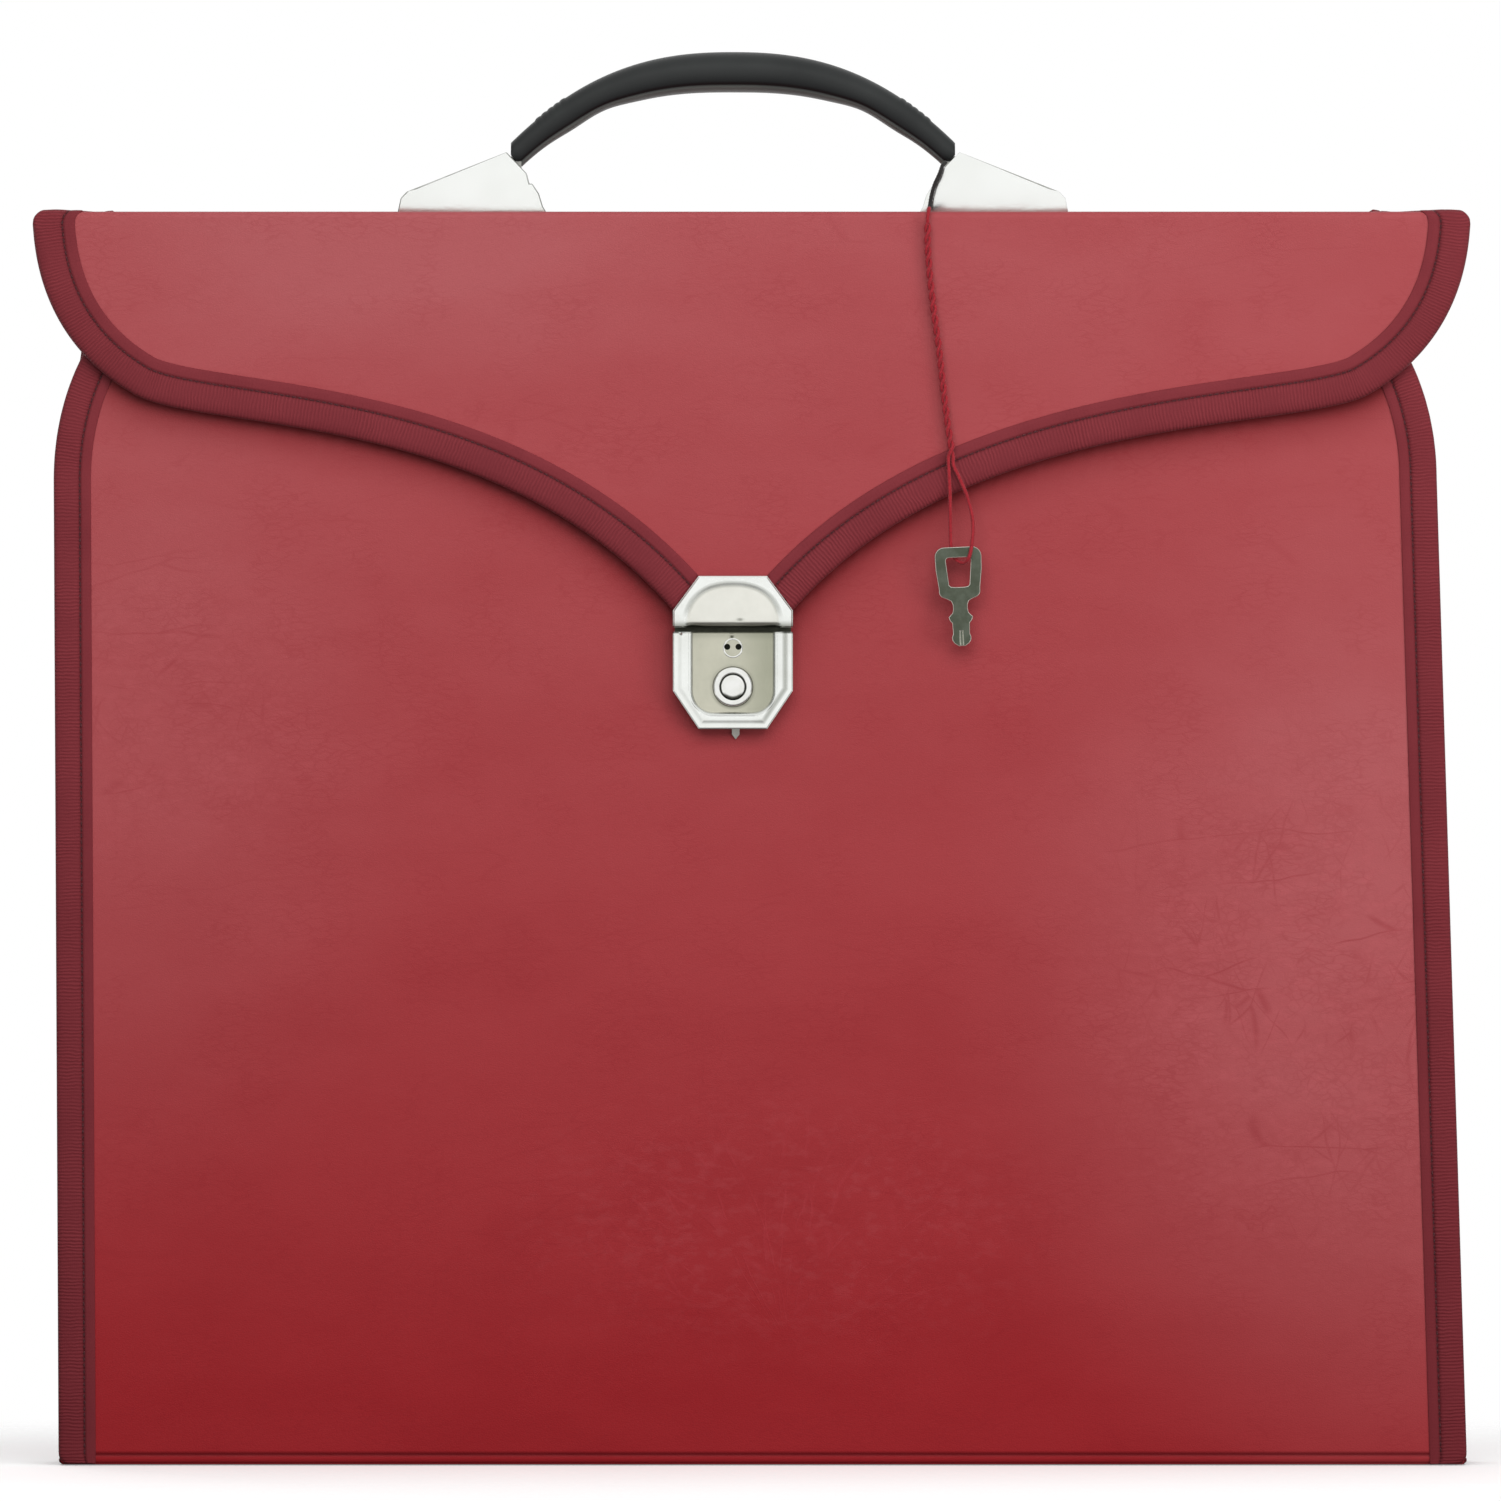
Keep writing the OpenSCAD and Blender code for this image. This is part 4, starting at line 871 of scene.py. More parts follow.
def lock_front():
    """Lower plate: a low outer rim, a step up to an inner rim, and the recessed field."""
    low = LOCK_TOP - LOCK_H
    cut, rise = LOCK_CUT, 10.8

    def low_of(x):
        return low + np.maximum(0, np.abs(x) - (LOCK_HALF - cut)) * rise / cut

    def high_of(x):
        return np.full_like(np.asarray(x, float), LOCK_TOP)

    left = [(-LOCK_HALF, LOCK_TOP + 30), (-LOCK_HALF, low + rise), (-LOCK_HALF + cut, low)]
    outline = left + [(-x, z) for x, z in reversed(left)]

    def height_of(x, z):
        edge = nearest_edge(x, z, outline)
        h = 6.15 + 0.25 * step_up(edge, 0.0, 0.4)
        h = h + 0.46 * step_up(edge, 1.2, 2.9)
        # the field: a U with two round corners
        half, corner_r, bottom = LOCK_HALF - 5.0, 6.6, low + 4.1
        qx = np.abs(x) - (half - corner_r)
        qz = (bottom + corner_r) - z
        inside = np.where((qx > 0) & (qz > 0), corner_r - np.hypot(np.maximum(qx, 0), np.maximum(qz, 0)),
                          np.minimum(half - np.abs(x), z - bottom))
        h = h - 0.12 * step_up(inside, -0.75, -0.55) + 0.12 * step_up(inside, -0.5, -0.3)
        h = h - 0.63 * step_up(inside, -0.25, 0.80)
        h = h - 0.05 * step_up(inside, 0.5, 0.9) + 0.06 * step_up(inside, 1.0, 2.2)
        top = LOCK_TOP - z
        h = h - 0.5 * (1 - step_up(top, 0.0, 0.5))
        notch = np.exp(-((x + 14.9) ** 2 + (z - (LOCK_TOP - 0.5)) ** 2) / 0.16)
        notch = notch + np.exp(-(((x + 0.3) / 0.55) ** 2 + ((z - PLUG_Z - 3.15) / 0.32) ** 2))
        h = h - 0.5 * notch
        # round openings under the button's ring and the key plug
        for centre, radius in ((BUTTON_Z, 4.5), (PLUG_Z, 2.6)):
            h = np.where(np.hypot(x, z - centre) < radius, 1.0, h)
        right = step_up(x, 4.0, 11.0)
        under = step_up(bottom + corner_r - z, 0.0, corner_r)
        # Painted grey reflections and shade along the steps, heavier on the right and low down, a thin grey
        # line at the edge, and dark in the small dimples
        line = hump(edge, 1.2, 2.6 + 0.5 * right) * (0.14 + 0.50 * right)
        line = np.maximum(line, hump(inside, -0.4, 0.7) * (0.08 + 0.26 * np.maximum(right, under)))
        line = np.maximum(line, (1 - step_up(edge, 0.0, 0.5)) * 0.22)
        line = np.maximum(line, np.clip(notch, 0, 1) * 0.9)
        field = step_up(inside, 0.1, 0.6)
        # Painted shadow below the button's ring and under the upper plate's edge
        ring = np.hypot(x, z - BUTTON_Z)
        cast = (1 - step_up(ring, 5.6, 6.9)) * (0.25 + 0.5 * step_up(BUTTON_Z - z, 0.0, 5.0))
        brow = (1 - step_up(top, 0.0, 3.0)) * 0.45
        return h, {"line": line, "field": field, "shade": np.maximum(cast, brow) * field}

    obj = relief_plate("lock_front", low_of, high_of, height_of, 0.8)
    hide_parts("lock_case")
    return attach(obj, "case")


def hasp_front():
    """Upper plate: a flat rim round an arched, softly domed middle that curls in at the bottom."""
    def high_of(x):
        rise = (LOCK_HALF - np.abs(x)) * (HASP_H - SHOULDER) / LOCK_CUT
        return HASP_Z + np.minimum(HASP_H, SHOULDER + rise)

    def low_of(x):
        return np.full_like(np.asarray(x, float), HASP_Z)

    left = [(-LOCK_HALF, HASP_Z - 30), (-LOCK_HALF, HASP_Z + SHOULDER),
            (-LOCK_HALF + LOCK_CUT, HASP_Z + HASP_H)]
    outline = left + [(-x, z) for x, z in reversed(left)]

    def height_of(x, z):
        edge = nearest_edge(x, z, outline)
        h = 6.45 + 0.42 * step_up(edge, 0.0, 0.55) + 0.1 * step_up(edge, 0.5, 3.0)
        # the arch, a flattened half ellipse
        s = (np.abs(x / 13.9) ** 2.35 + np.abs((z - HASP_Z - 1.2) / 11.6) ** 2.1)
        d = (1 - s) * 5.2
        d = np.where(z < HASP_Z + 1.2, (1 - np.abs(x / 13.9) ** 2.35) * 5.2, d)
        h = h - 0.55 * step_up(d, -0.35, 1.2) + 0.42 * step_up(d, 1.1, 5.0)
        curl = z - HASP_Z
        middle = step_up(1 - np.abs(x) / 15.5, 0.0, 0.25)
        h = h - (0.35 + 0.75 * middle) * (1 - step_up(curl, 0.0, 1.7)) * middle
        h = h - 0.35 * (1 - step_up(curl, 0.0, 0.45))
        dent = np.exp(-(((x - 2.0) / 0.9) ** 2 + ((z - HASP_Z - 2.15) / 0.38) ** 2))
        # Painted grey reflection along the arch's step, a thin grey line at the edge, and dark in the dimple
        line = hump(d, -0.55, 1.35) * 0.50 * step_up(curl, 2.0, 6.0)
        line = np.maximum(line, (1 - step_up(edge, 0.0, 0.5)) * 0.22)
        line = np.maximum(line, dent * 0.8)
        field = step_up(d, 0.4, 1.0)
        # Painted shade down the curl at the bottom
        return h - 0.22 * dent, {"line": line, "field": field, "shade": 1 - step_up(curl, 0.1, 2.3)}

    obj = relief_plate("hasp_front", low_of, high_of, height_of, 4.72)
    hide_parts("hasp_plate")
    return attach(obj, "flap")


def button_parts():
    ring = [(3.62, 6.1), (3.62, 6.9), (3.68, 7.25), (3.85, 7.5), (4.15, 7.64), (4.6, 7.68), (5.05, 7.6),
            (5.42, 7.38), (5.66, 7.0), (5.76, 6.6), (5.8, 6.15)]
    bezel = lathe("button_ring", ring, (FIT_X, BUTTON_Z), 96)
    by_angle(bezel, 50)
    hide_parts("button_bezel")
    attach(bezel, "case")
    dome = [(1.6, -0.8), (1.6, 4.3), (4.2, 4.3), (4.2, 5.08), (3.48, 5.08), (3.48, 7.1), (3.42, 7.42),
            (3.25, 7.62)]
    for i in range(1, 12):
        r = 3.25 * (1 - i / 12)
        dome.append((r, 8.17 - 0.55 * (r / 3.25) ** 2))
    dome.append((0.02, 8.17))
    button = lathe("button_dome", dome, (FIT_X, BUTTON_Z), 96)
    by_angle(button, 40)
    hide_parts("push_button")
    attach(button, "button")
    return [bezel, button]


def plug_piece():
    """Key plug: a turned disc with a fine rim and two round holes."""
    profile = [(1.5, -1.0), (1.5, 1.0), (2.86, 1.0), (2.86, 6.2), (2.8, 6.38), (2.66, 6.47), (2.5, 6.45),
               (2.36, 6.34), (2.22, 6.32), (1.4, 6.34), (0.02, 6.36)]
    plug = lathe("plug_disc", profile, (FIT_X, PLUG_Z), 72)
    cutters = []
    for side in (-1, 1):
        hole = lathe("drill", [(0.82, 3.0), (0.82, 6.2), (0.95, 6.6), (0.95, 9.0)],
                     (FIT_X + side * 1.6, PLUG_Z + 0.35), 32)
        cutters.append(hole)
    for hole in cutters:
        mod = plug.modifiers.new("drill", "BOOLEAN")
        mod.operation = "DIFFERENCE"
        mod.solver = "EXACT"
        mod.object = hole
        bake(plug)
    for hole in cutters:
        bpy.data.objects.remove(hole)
    by_angle(plug, 32)
    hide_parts("key_plug")
    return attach(plug, "key_plug")


metal_pieces = [lock_front(), hasp_front()] + button_parts() + [plug_piece()]


def trim(name, node, body, width, angle=28):
    obj = bevelled(name, node, width, angle)
    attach(obj, body)
    return obj


bracket_pieces = [trim("bracket_pressing_left", "bracket_left", "top", 0.5, 18),
                  trim("bracket_pressing_right", "bracket_right", "top", 0.5, 18)]
base_plate = trim("lock_base_plate", "lock_base", "case", 0.12)
hidden_steel = [
    trim("hasp_staple", "hasp_clip", "flap", 0.18),
    trim("catch_bolt", "catch_slide", "catch", 0.15),
    trim("cover_plate", "lock_back_plate", "case", 0.15),
    trim("prong_plates", "backing_plates", "top", 0.15),
]
key_piece = trim("key_stamping", "key", "key_drop", 0.28, 24)


# Grip
def grip_piece():
    """Moulded grip: swollen in the middle, with five small ribs near each end and an underside paler by
    painted light from below.
    """
    reach, rise, end_z, bend = 62.6, 24.4, 15.9, 2.5

    def mid(u):
        return Vector((reach * u, 0, end_z + rise * (1 - abs(u) ** bend)))

    def way(u):
        return Vector((reach, 0, -rise * bend * abs(u) ** (bend - 1) * (1 if u > 0 else -1))).normalized()

    us = []
    u = -1.0
    while u < 1.0:
        us.append(u)
        u += 0.003 if 0.68 < abs(u) < 0.9 else 0.009
    us.append(1.0)
    sides = 72
    verts, low, dim, uvs = [], [], [], []
    length = 0.0
    for i, u in enumerate(us):
        if i:
            length += (mid(u) - mid(us[i - 1])).length
        half_t = (7 + 4.4 * max(0, 1 - u * u) ** 1.4) / 2
        half_w = (7 + 7.6 * max(0, 1 - u * u) ** 1.2) / 2
        ahead = way(u)
        up = Vector((-ahead.z, 0, ahead.x))
        near = (1 - abs(u)) * reach
        ribs = 0.0
        rib_at = (abs(u) * reach - 45.6) / 1.7
        if 0 < rib_at < 5:
            ribs = 0.30 * abs(math.sin(math.pi * rib_at)) ** 0.6
        for k in range(sides):
            a = 2 * math.pi * k / sides
            s, c = math.sin(a), math.cos(a)
            t = half_t * math.copysign(abs(s) ** 0.8, s)
            w = half_w * math.copysign(abs(c) ** 0.8, c)
            if s < 0:
                swell = 0.35 * math.exp(-((abs(u) - 0.78) / 0.08) ** 2)
                hollow = 0.55 * math.exp(-((abs(u) - 0.60) / 0.1) ** 2)
                t -= (swell - hollow) * abs(s)
            # the last 2 mm close in a little, more at the top
            t *= 1 - 0.10 * max(0.0, 1 - near / 2.0) ** 2 * (1 + s)
            w *= 1 - 0.10 * max(0.0, 1 - near / 2.0) ** 2
            crown = max(0.0, s) ** 1.5
            t += ribs * crown
            # a shallow step runs along each side where the underside's paler band, painted light from below,
            # begins
            band = ease((-s - 0.60) / 0.08)
            groove = math.exp(-((s + 0.60) / 0.05) ** 2)
            w *= 1 - 0.035 * groove
            t *= 1 + 0.02 * band
            p = mid(u) + up * t + Vector((0, w, 0))
            x = max(-63.3, min(63.3, p.x))
            verts.append((FIT_X + x, HANDLE_Y + p.y, CASE_H + p.z))
            # band is the paler underside, painted light from below; dim is painted shade on the lower front,
            # which faces down
            low.append(band)
            dim.append(ease((0.25 - s) / 0.75))
            uvs.append((length * MM, k / sides))
    faces = grid_faces(len(us), sides, closed=True)
    for row in (0, len(us) - 1):
        ring = [row * sides + k for k in range(sides)]
        centre = Vector((0, 0, 0))
        for k in ring:
            centre += Vector(verts[k])
        centre /= sides
        verts.append(tuple(centre))
        low.append(0.0)
        dim.append(1.0)
        uvs.append((0, 0))
        tip = len(verts) - 1
        for k in range(sides):
            faces.append((ring[k], ring[(k + 1) % sides], tip))
    obj = add_mesh("grip_moulding", verts, faces, uvs=uvs, values={"under": low, "dim": dim})
    by_angle(outward(obj), 48)
    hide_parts("grip")
    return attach(obj, "handle")


grip = grip_piece()


# Materials
class Graph:
    """A material with short ways to add its nodes."""

    def __init__(self, name):
        self.mat = bpy.data.materials.new(name)
        self.mat.use_nodes = True
        self.tree = self.mat.node_tree
        self.tree.nodes.clear()
        self.out = self.node("OutputMaterial")
        self.shader = self.node("BsdfPrincipled")
        self.link(self.shader.outputs["BSDF"], self.out.inputs["Surface"])
        self.coord = self.node("TexCoord")
        self.spot = self.coord.outputs["Object"]
        self.x, self.y, self.z = self.axes(self.spot)

    def node(self, kind, **settings):
        n = self.tree.nodes.new("ShaderNode" + kind)
        for key, value in settings.items():
            setattr(n, key, value)
        return n

    def link(self, a, b):
        self.tree.links.new(a, b)

    def feed(self, socket, value):
        """Sets a socket to a number, a vector or a colour, or links it."""
        if isinstance(value, (int, float)):
            socket.default_value = value
        elif isinstance(value, tuple):
            socket.default_value = value if len(socket.default_value) == len(value) else (*value, 1.0)
        else:
            self.link(value, socket)

    def made(self, kind, result, inputs, **settings):
        """One output of a new node whose inputs are fed."""
        n = self.node(kind, **settings)
        for key, value in inputs.items():
            self.feed(n.inputs[key], value)
        return n.outputs[result]

    def axes(self, vector):
        split = self.node("SeparateXYZ")
        self.link(vector, split.inputs["Vector"])
        return split.outputs[0], split.outputs[1], split.outputs[2]

    def scaled(self, source, scale, rotation=(0, 0, 0)):
        return self.made("Mapping", "Vector", {"Vector": source, "Scale": scale, "Rotation": rotation})

    def noise(self, scale, detail, rough, vector=None):
        return self.made("TexNoise", "Fac", {"Vector": vector or self.spot, "Scale": scale,
                                             "Detail": detail, "Roughness": rough})

    def cells(self, vector, scale):
        return self.made("TexVoronoi", "Distance", {"Vector": vector, "Scale": scale},
                         feature="DISTANCE_TO_EDGE")

    def ramp(self, value, low, high, out_low=0.0, out_high=1.0, kind="SMOOTHSTEP"):
        return self.made("MapRange", "Result", {"Value": value, "From Min": low, "From Max": high,
                                                "To Min": out_low, "To Max": out_high},
                         interpolation_type=kind)

    def math(self, op, a, b=None):
        return self.made("Math", "Value", {0: a} if b is None else {0: a, 1: b}, operation=op)

    def times(self, a, b):
        return self.math("MULTIPLY", a, b)

    def plus(self, a, b):
        return self.math("ADD", a, b)

    def minus(self, a, b):
        return self.math("SUBTRACT", a, b)

    def most(self, a, b):
        return self.math("MAXIMUM", a, b)

    def far(self, a, b):
        """The length of a way whose two parts are a and b."""
        return self.math("SQRT", self.plus(self.times(a, a), self.times(b, b)))

    def mix(self, share, a, b):
        return self.made("Mix", 2, {0: share, 6: a, 7: b}, data_type="RGBA")

    def tones(self, value, a, b, low=0.3, high=0.7):
        """From one colour to another as a noise rises through its middle."""
        return self.mix(self.ramp(value, low, high), a, b)

    def spread(self, value, low, high):
        """Numbers from low to high as a noise rises through its middle."""
        return self.ramp(value, 0.3, 0.7, low, high)

    def bump(self, height, strength, distance, normal=None):
        inputs = {"Strength": strength, "Distance": distance, "Height": height}
        if normal is not None:
            inputs["Normal"] = normal
        return self.made("Bump", "Normal", inputs)

    def blob(self, at, size):
        """1 at a place in X and Z, falling softly to 0 at its edge."""
        dx = self.math("DIVIDE", self.minus(self.x, at[0]), size[0])
        dz = self.math("DIVIDE", self.minus(self.z, at[1]), size[1])
        return self.ramp(self.far(dx, dz), 0.25, 1.0, 1.0, 0.0)

    def warped(self, scale, reach):
        """The place itself, pushed about by up to reach in slow waves."""
        waves = self.made("TexNoise", "Color", {"Vector": self.spot, "Scale": scale, "Detail": 2.0})
        return self.made("VectorMath", "Vector", {0: waves, 1: (reach, reach, reach), 2: self.spot},
                         operation="MULTIPLY_ADD")

    def cracks(self, vector, scale, width, stretch=(1, 1, 1), turn=0.0):
        """Fine lines between cells, 1 at their middle; stretch below 1 draws the cells out along X."""
        turned = self.scaled(vector, (1, 1, 1), (0.0, turn, 0.0))
        return self.ramp(self.cells(self.scaled(turned, stretch), scale), 0.0, width, 1.0, 0.0)

    def named(self, name):
        return self.node("Attribute", attribute_name=name).outputs["Fac"]

    def from_lock(self, centre_z):
        """Millimetres from the lock's middle line at a height."""
        dx, dz = self.minus(self.x, FIT_X * MM), self.minus(self.z, centre_z * MM)
        return self.times(self.far(dx, dz), 1000.0)

    def proud(self):
        """Millimetres out of the front cover."""
        return self.times(self.minus(FRONT_Y * MM, self.y), 1000.0)

    def surface(self, colour, roughness, normal, **others):
        """Feeds the shader, and gives the material."""
        inputs = {"Base Color": colour, "Roughness": roughness, "Normal": normal}
        inputs.update({key.replace("_", " "): value for key, value in others.items()})
        for key, value in inputs.items():
            self.feed(self.shader.inputs[key], value)
        return self.mat


def leather_material():
    g = Graph("leathercloth_red")
    bent = g.warped(150, 0.0035)
    # Fine grain, and a soft pebble of 2 to 3 mm cells
    grain = g.cells(g.scaled(g.spot, (0.8, 1.0, 1.25)), 1250)
    fine = g.noise(1500, 3, 0.6)
    right = g.blob((0.158, 0.135), (0.085, 0.105))
    left = g.blob((-0.165, 0.215), (0.06, 0.06))
    low = g.blob((0.01, 0.070), (0.11, 0.05))
    worked = g.most(right, g.most(g.times(left, 0.7), g.times(low, 0.55)))
    patchy = g.ramp(g.noise(70, 3, 0.6), 0.36, 0.62)
    pebble = g.times(g.cracks(bent, 420, 0.16, (0.8, 1.0, 1.15)),
                     g.times(patchy, g.plus(g.times(worked, 0.75), 0.22)))
    # Short dashes that lie across the cloth, a few mm long
    dash_area = g.ramp(g.noise(46, 3, 0.6), 0.44, 0.62)
    dashes = g.times(g.cracks(bent, 620, 0.13, (0.24, 1.0, 1.0)),
                     g.times(dash_area, g.plus(g.times(worked, 0.35), 0.65)))
    # Long creases: mostly across, and some slanted where the cloth has been worked
    slack = g.warped(34, 0.010)
    across_on = g.ramp(g.noise(40, 2, 0.5, g.scaled(g.spot, (0.6, 1.0, 1.0))), 0.53, 0.62)
    across = g.times(g.cracks(slack, 92, 0.030, (0.16, 0.5, 1.0), 0.06),
                     g.times(across_on, g.plus(g.times(worked, 0.7), 0.30)))
    slant_on = g.times(g.ramp(g.noise(52, 2, 0.5), 0.50, 0.62), worked)
    slant = g.most(g.cracks(slack, 120, 0.035, (0.22, 0.5, 1.0), -1.05),
                   g.cracks(slack, 105, 0.035, (0.22, 0.5, 1.0), 1.25))
    creases = g.most(across, g.times(g.times(slant, slant_on), 0.8))
    # A fan of ridges low in the middle of the front, raised by bump and paler by a painted highlight on their
    # crests
    dx, dz = g.minus(g.x, 0.010), g.minus(g.z, 0.034)
    turn = g.plus(g.times(g.math("ARCTAN2", dx, dz), 5.5), g.times(g.noise(40, 2, 0.5), 1.1))
    polar = g.made("CombineXYZ", "Vector", {"X": turn, "Z": g.times(g.far(dx, dz), 26.0)})
    spokes = g.ramp(g.cells(polar, 1.0), 0.0, 0.055, 1.0, 0.0)
    fan = g.times(spokes, g.times(g.blob((0.008, 0.068), (0.075, 0.042)),
                                  g.ramp(g.noise(75, 2, 0.5), 0.42, 0.58)))
    fan = g.times(fan, g.ramp(g.y, -0.010, -0.014))
    # Colour: painted sheen and light, paler towards the top, the sides and the right, and painted shade,
    # deeper red low down; below the flap's edge a painted shadow, and unfaded cloth under the flap
    slow = g.noise(34, 4, 0.55, g.scaled(g.spot, (0.5, 1.0, 1.0)))
    rich = g.tones(slow, (0.266, 0.0080, 0.0120), (0.288, 0.0100, 0.0142))
    painted_sheen = g.ramp(g.z, 0.02, 0.36, 0.075, 0.77, "LINEAR")
    for at, size, weight in (((0.205, 0.13), (0.16, 0.18), 0.60), ((-0.205, 0.20), (0.13, 0.16), 0.26),
                             ((-0.10, 0.35), (0.11, 0.06), 0.24)):
        painted_sheen = g.plus(painted_sheen, g.times(g.blob(at, size), weight))
    painted_sheen = g.times(painted_sheen, g.ramp(slow, 0.25, 0.75, 0.90, 1.10))
    colour = g.mix(painted_sheen, rich, (0.362, 0.083, 0.090))
    # Painted shadow below the flap's edge, and richer unfaded cloth under the flap
    colour = g.mix(g.times(g.named("unfaded_and_flap_shadow"), 0.85), colour, (0.125, 0.0030, 0.0050))
    # Painted shade: darker in the dashes, creases and pebble lines
    lines = g.most(g.times(dashes, 0.62), g.most(creases, g.times(pebble, 0.50)))
    colour = g.mix(g.times(lines, 0.36), colour, (0.200, 0.0085, 0.014))
    # Painted highlights: pale mottled spots where the cloth has been worked
    mottle = g.noise(330, 3, 0.55, g.scaled(g.spot, (0.7, 1.0, 1.2)))
    colour = g.mix(g.times(g.times(g.ramp(mottle, 0.46, 0.72), worked), 0.20), colour, (0.46, 0.100, 0.112))
    # Painted highlight on the fan's ridges
    colour = g.mix(g.times(fan, 0.13), colour, (0.42, 0.055, 0.070))
    colour = g.mix(g.times(g.ramp(fine, 0.35, 0.2), 0.20), colour, (0.20, 0.010, 0.014))
    # Painted shade: a dark band about 3 mm up, in the valley above the rounded lower edge
    foot = g.ramp(g.math("ABSOLUTE", g.minus(g.z, 0.0029)), 0.0, 0.0011, 0.75, 0.0)
    colour = g.mix(foot, colour, (0.07, 0.002, 0.004))
    normal = None
    for height, strength, depth in ((g.ramp(grain, 0.0, 0.2), 0.3, 0.00006), (fine, 0.3, 0.00006),
                                    (dashes, -0.5, 0.00010), (creases, -0.6, 0.00016),
                                    (pebble, -0.6, 0.00014), (fan, 0.4, 0.00012)):
        normal = g.bump(height, strength, depth, normal)
    swell = g.noise(110, 3, 0.5, g.scaled(g.spot, (0.35, 1.0, 1.0)))
    normal = g.bump(g.times(swell, g.plus(g.times(worked, 0.8), 0.5)), 0.5, 0.00045, normal)
    return g.surface(colour, g.spread(g.noise(420, 3, 0.6), 0.36, 0.48), normal, Specular_IOR_Level=0.14)


def tape_material():
    g = Graph("binding_tape_maroon")
    along, across, _ = g.axes(g.node("UVMap", uv_map="UVMap").outputs["UV"])
    flat = g.named("plain")
    # Ribs wander, thicken and fade, as in a pulled grosgrain
    wander = g.noise(210, 3, 0.55)
    phase = g.plus(g.times(along, 2 * math.pi / 0.00098), g.times(wander, 9.0))
    rib = g.plus(g.times(g.math("SINE", phase), 0.5), 0.5)
    clear = g.ramp(g.noise(120, 3, 0.6), 0.3, 0.65, 0.25, 1.0)
    ribs = g.times(rib, g.times(clear, g.minus(1.0, g.times(flat, 0.85))))
    weft = g.plus(g.times(g.math("SINE", g.times(across, 2 * math.pi / 0.0006)), 0.5), 0.5)
    fuzz = g.noise(3000, 3, 0.65)
    lift = g.plus(g.times(ribs, 0.50), g.times(flat, 0.22))
    colour = g.mix(g.plus(lift, g.times(fuzz, 0.5)), (0.128, 0.0160, 0.0220), (0.236, 0.0350, 0.0430))
    # Painted shade: darker towards the bottom
    colour = g.mix(g.ramp(g.z, 0.0, 0.30, 0.36, 0.0, "LINEAR"), colour, (0.092, 0.0075, 0.0115))
    aged = g.times(g.ramp(g.noise(60, 4, 0.6), 0.35, 0.75), 0.30)
    colour = g.mix(aged, colour, (0.098, 0.0100, 0.0150))
    # Painted shade in the stitched groove
    colour = g.mix(g.times(g.named("groove"), 0.50), colour, (0.024, 0.0030, 0.0042))
    normal = g.bump(weft, 0.12, 0.00007, g.bump(ribs, 0.8, 0.00016))
    return g.surface(colour, 0.6, g.bump(fuzz, 0.35, 0.00009, normal), Specular_IOR_Level=0.15,
                    Sheen_Weight=0.05, Sheen_Roughness=0.4)


def thread_material(name, dark, light, rough, crimson_run=None):
    g = Graph(name)
    fibre = g.noise(3800, 4, 0.65, g.scaled(g.spot, (1, 1, 0.35)))
    colour = g.tones(fibre, dark, light)
    if crimson_run:
        colour = g.mix(g.named("crimson_run"), colour, g.tones(fibre, *crimson_run))
    return g.surface(colour, rough, g.bump(fibre, 0.5, 0.00012), Specular_IOR_Level=0.3, Sheen_Weight=0.15)


def metal_material(name, dark, light, rough_low, rough_high, bump=0.06):
    g = Graph(name)
    slow = g.noise(90, 4, 0.6)
    fine = g.noise(900, 4, 0.6)
    rough = g.spread(g.plus(g.times(fine, 0.6), g.times(slow, 0.4)), rough_low, rough_high)
    return g.surface(g.tones(slow, light, dark, high=0.75), rough, g.bump(fine, bump, 0.00005), Metallic=1.0)


def lock_material():
    """Bright rims, satin middles, and painted grey reflections and shade along the steps."""
    g = Graph("nickel_lock")
    field = g.named("field")
    lower = g.ramp(g.z, (LOCK_TOP + 0.8) * MM, (LOCK_TOP + 0.5) * MM)
    slow = g.noise(110, 4, 0.6)
    fine = g.noise(2600, 4, 0.6, g.scaled(g.spot, (1, 1, 0.12)))
    rim = g.tones(slow, (0.88, 0.90, 0.87), (0.80, 0.815, 0.775), high=0.75)
    beige = g.tones(slow, (0.58, 0.57, 0.465), (0.51, 0.505, 0.41), high=0.75)
    # Painted shade: the field darker towards the right
    rightward = g.ramp(g.x, (FIT_X - 3) * MM, (FIT_X + 12) * MM, 0.0, 0.65)
    beige = g.mix(rightward, beige, (0.30, 0.31, 0.225))
    satin = g.tones(slow, (0.80, 0.795, 0.73), (0.74, 0.735, 0.67), high=0.75)
    colour = g.mix(field, rim, g.mix(lower, satin, beige))
    colour = g.mix(g.times(g.named("shade"), 0.75), colour, (0.13, 0.135, 0.10))
    colour = g.mix(g.named("line"), colour, (0.24, 0.25, 0.21))
    # Painted shade on the plates' sides, down the curl and in the gap between them
    down = g.times(g.ramp(g.proud(), 6.0, 5.7), 0.9)
    rough = g.plus(g.spread(fine, 0.17, 0.26), g.times(field, 0.12))
    return g.surface(g.mix(down, colour, (0.05, 0.052, 0.038)), rough, g.bump(fine, 0.05, 0.00004),
                     Metallic=0.9)


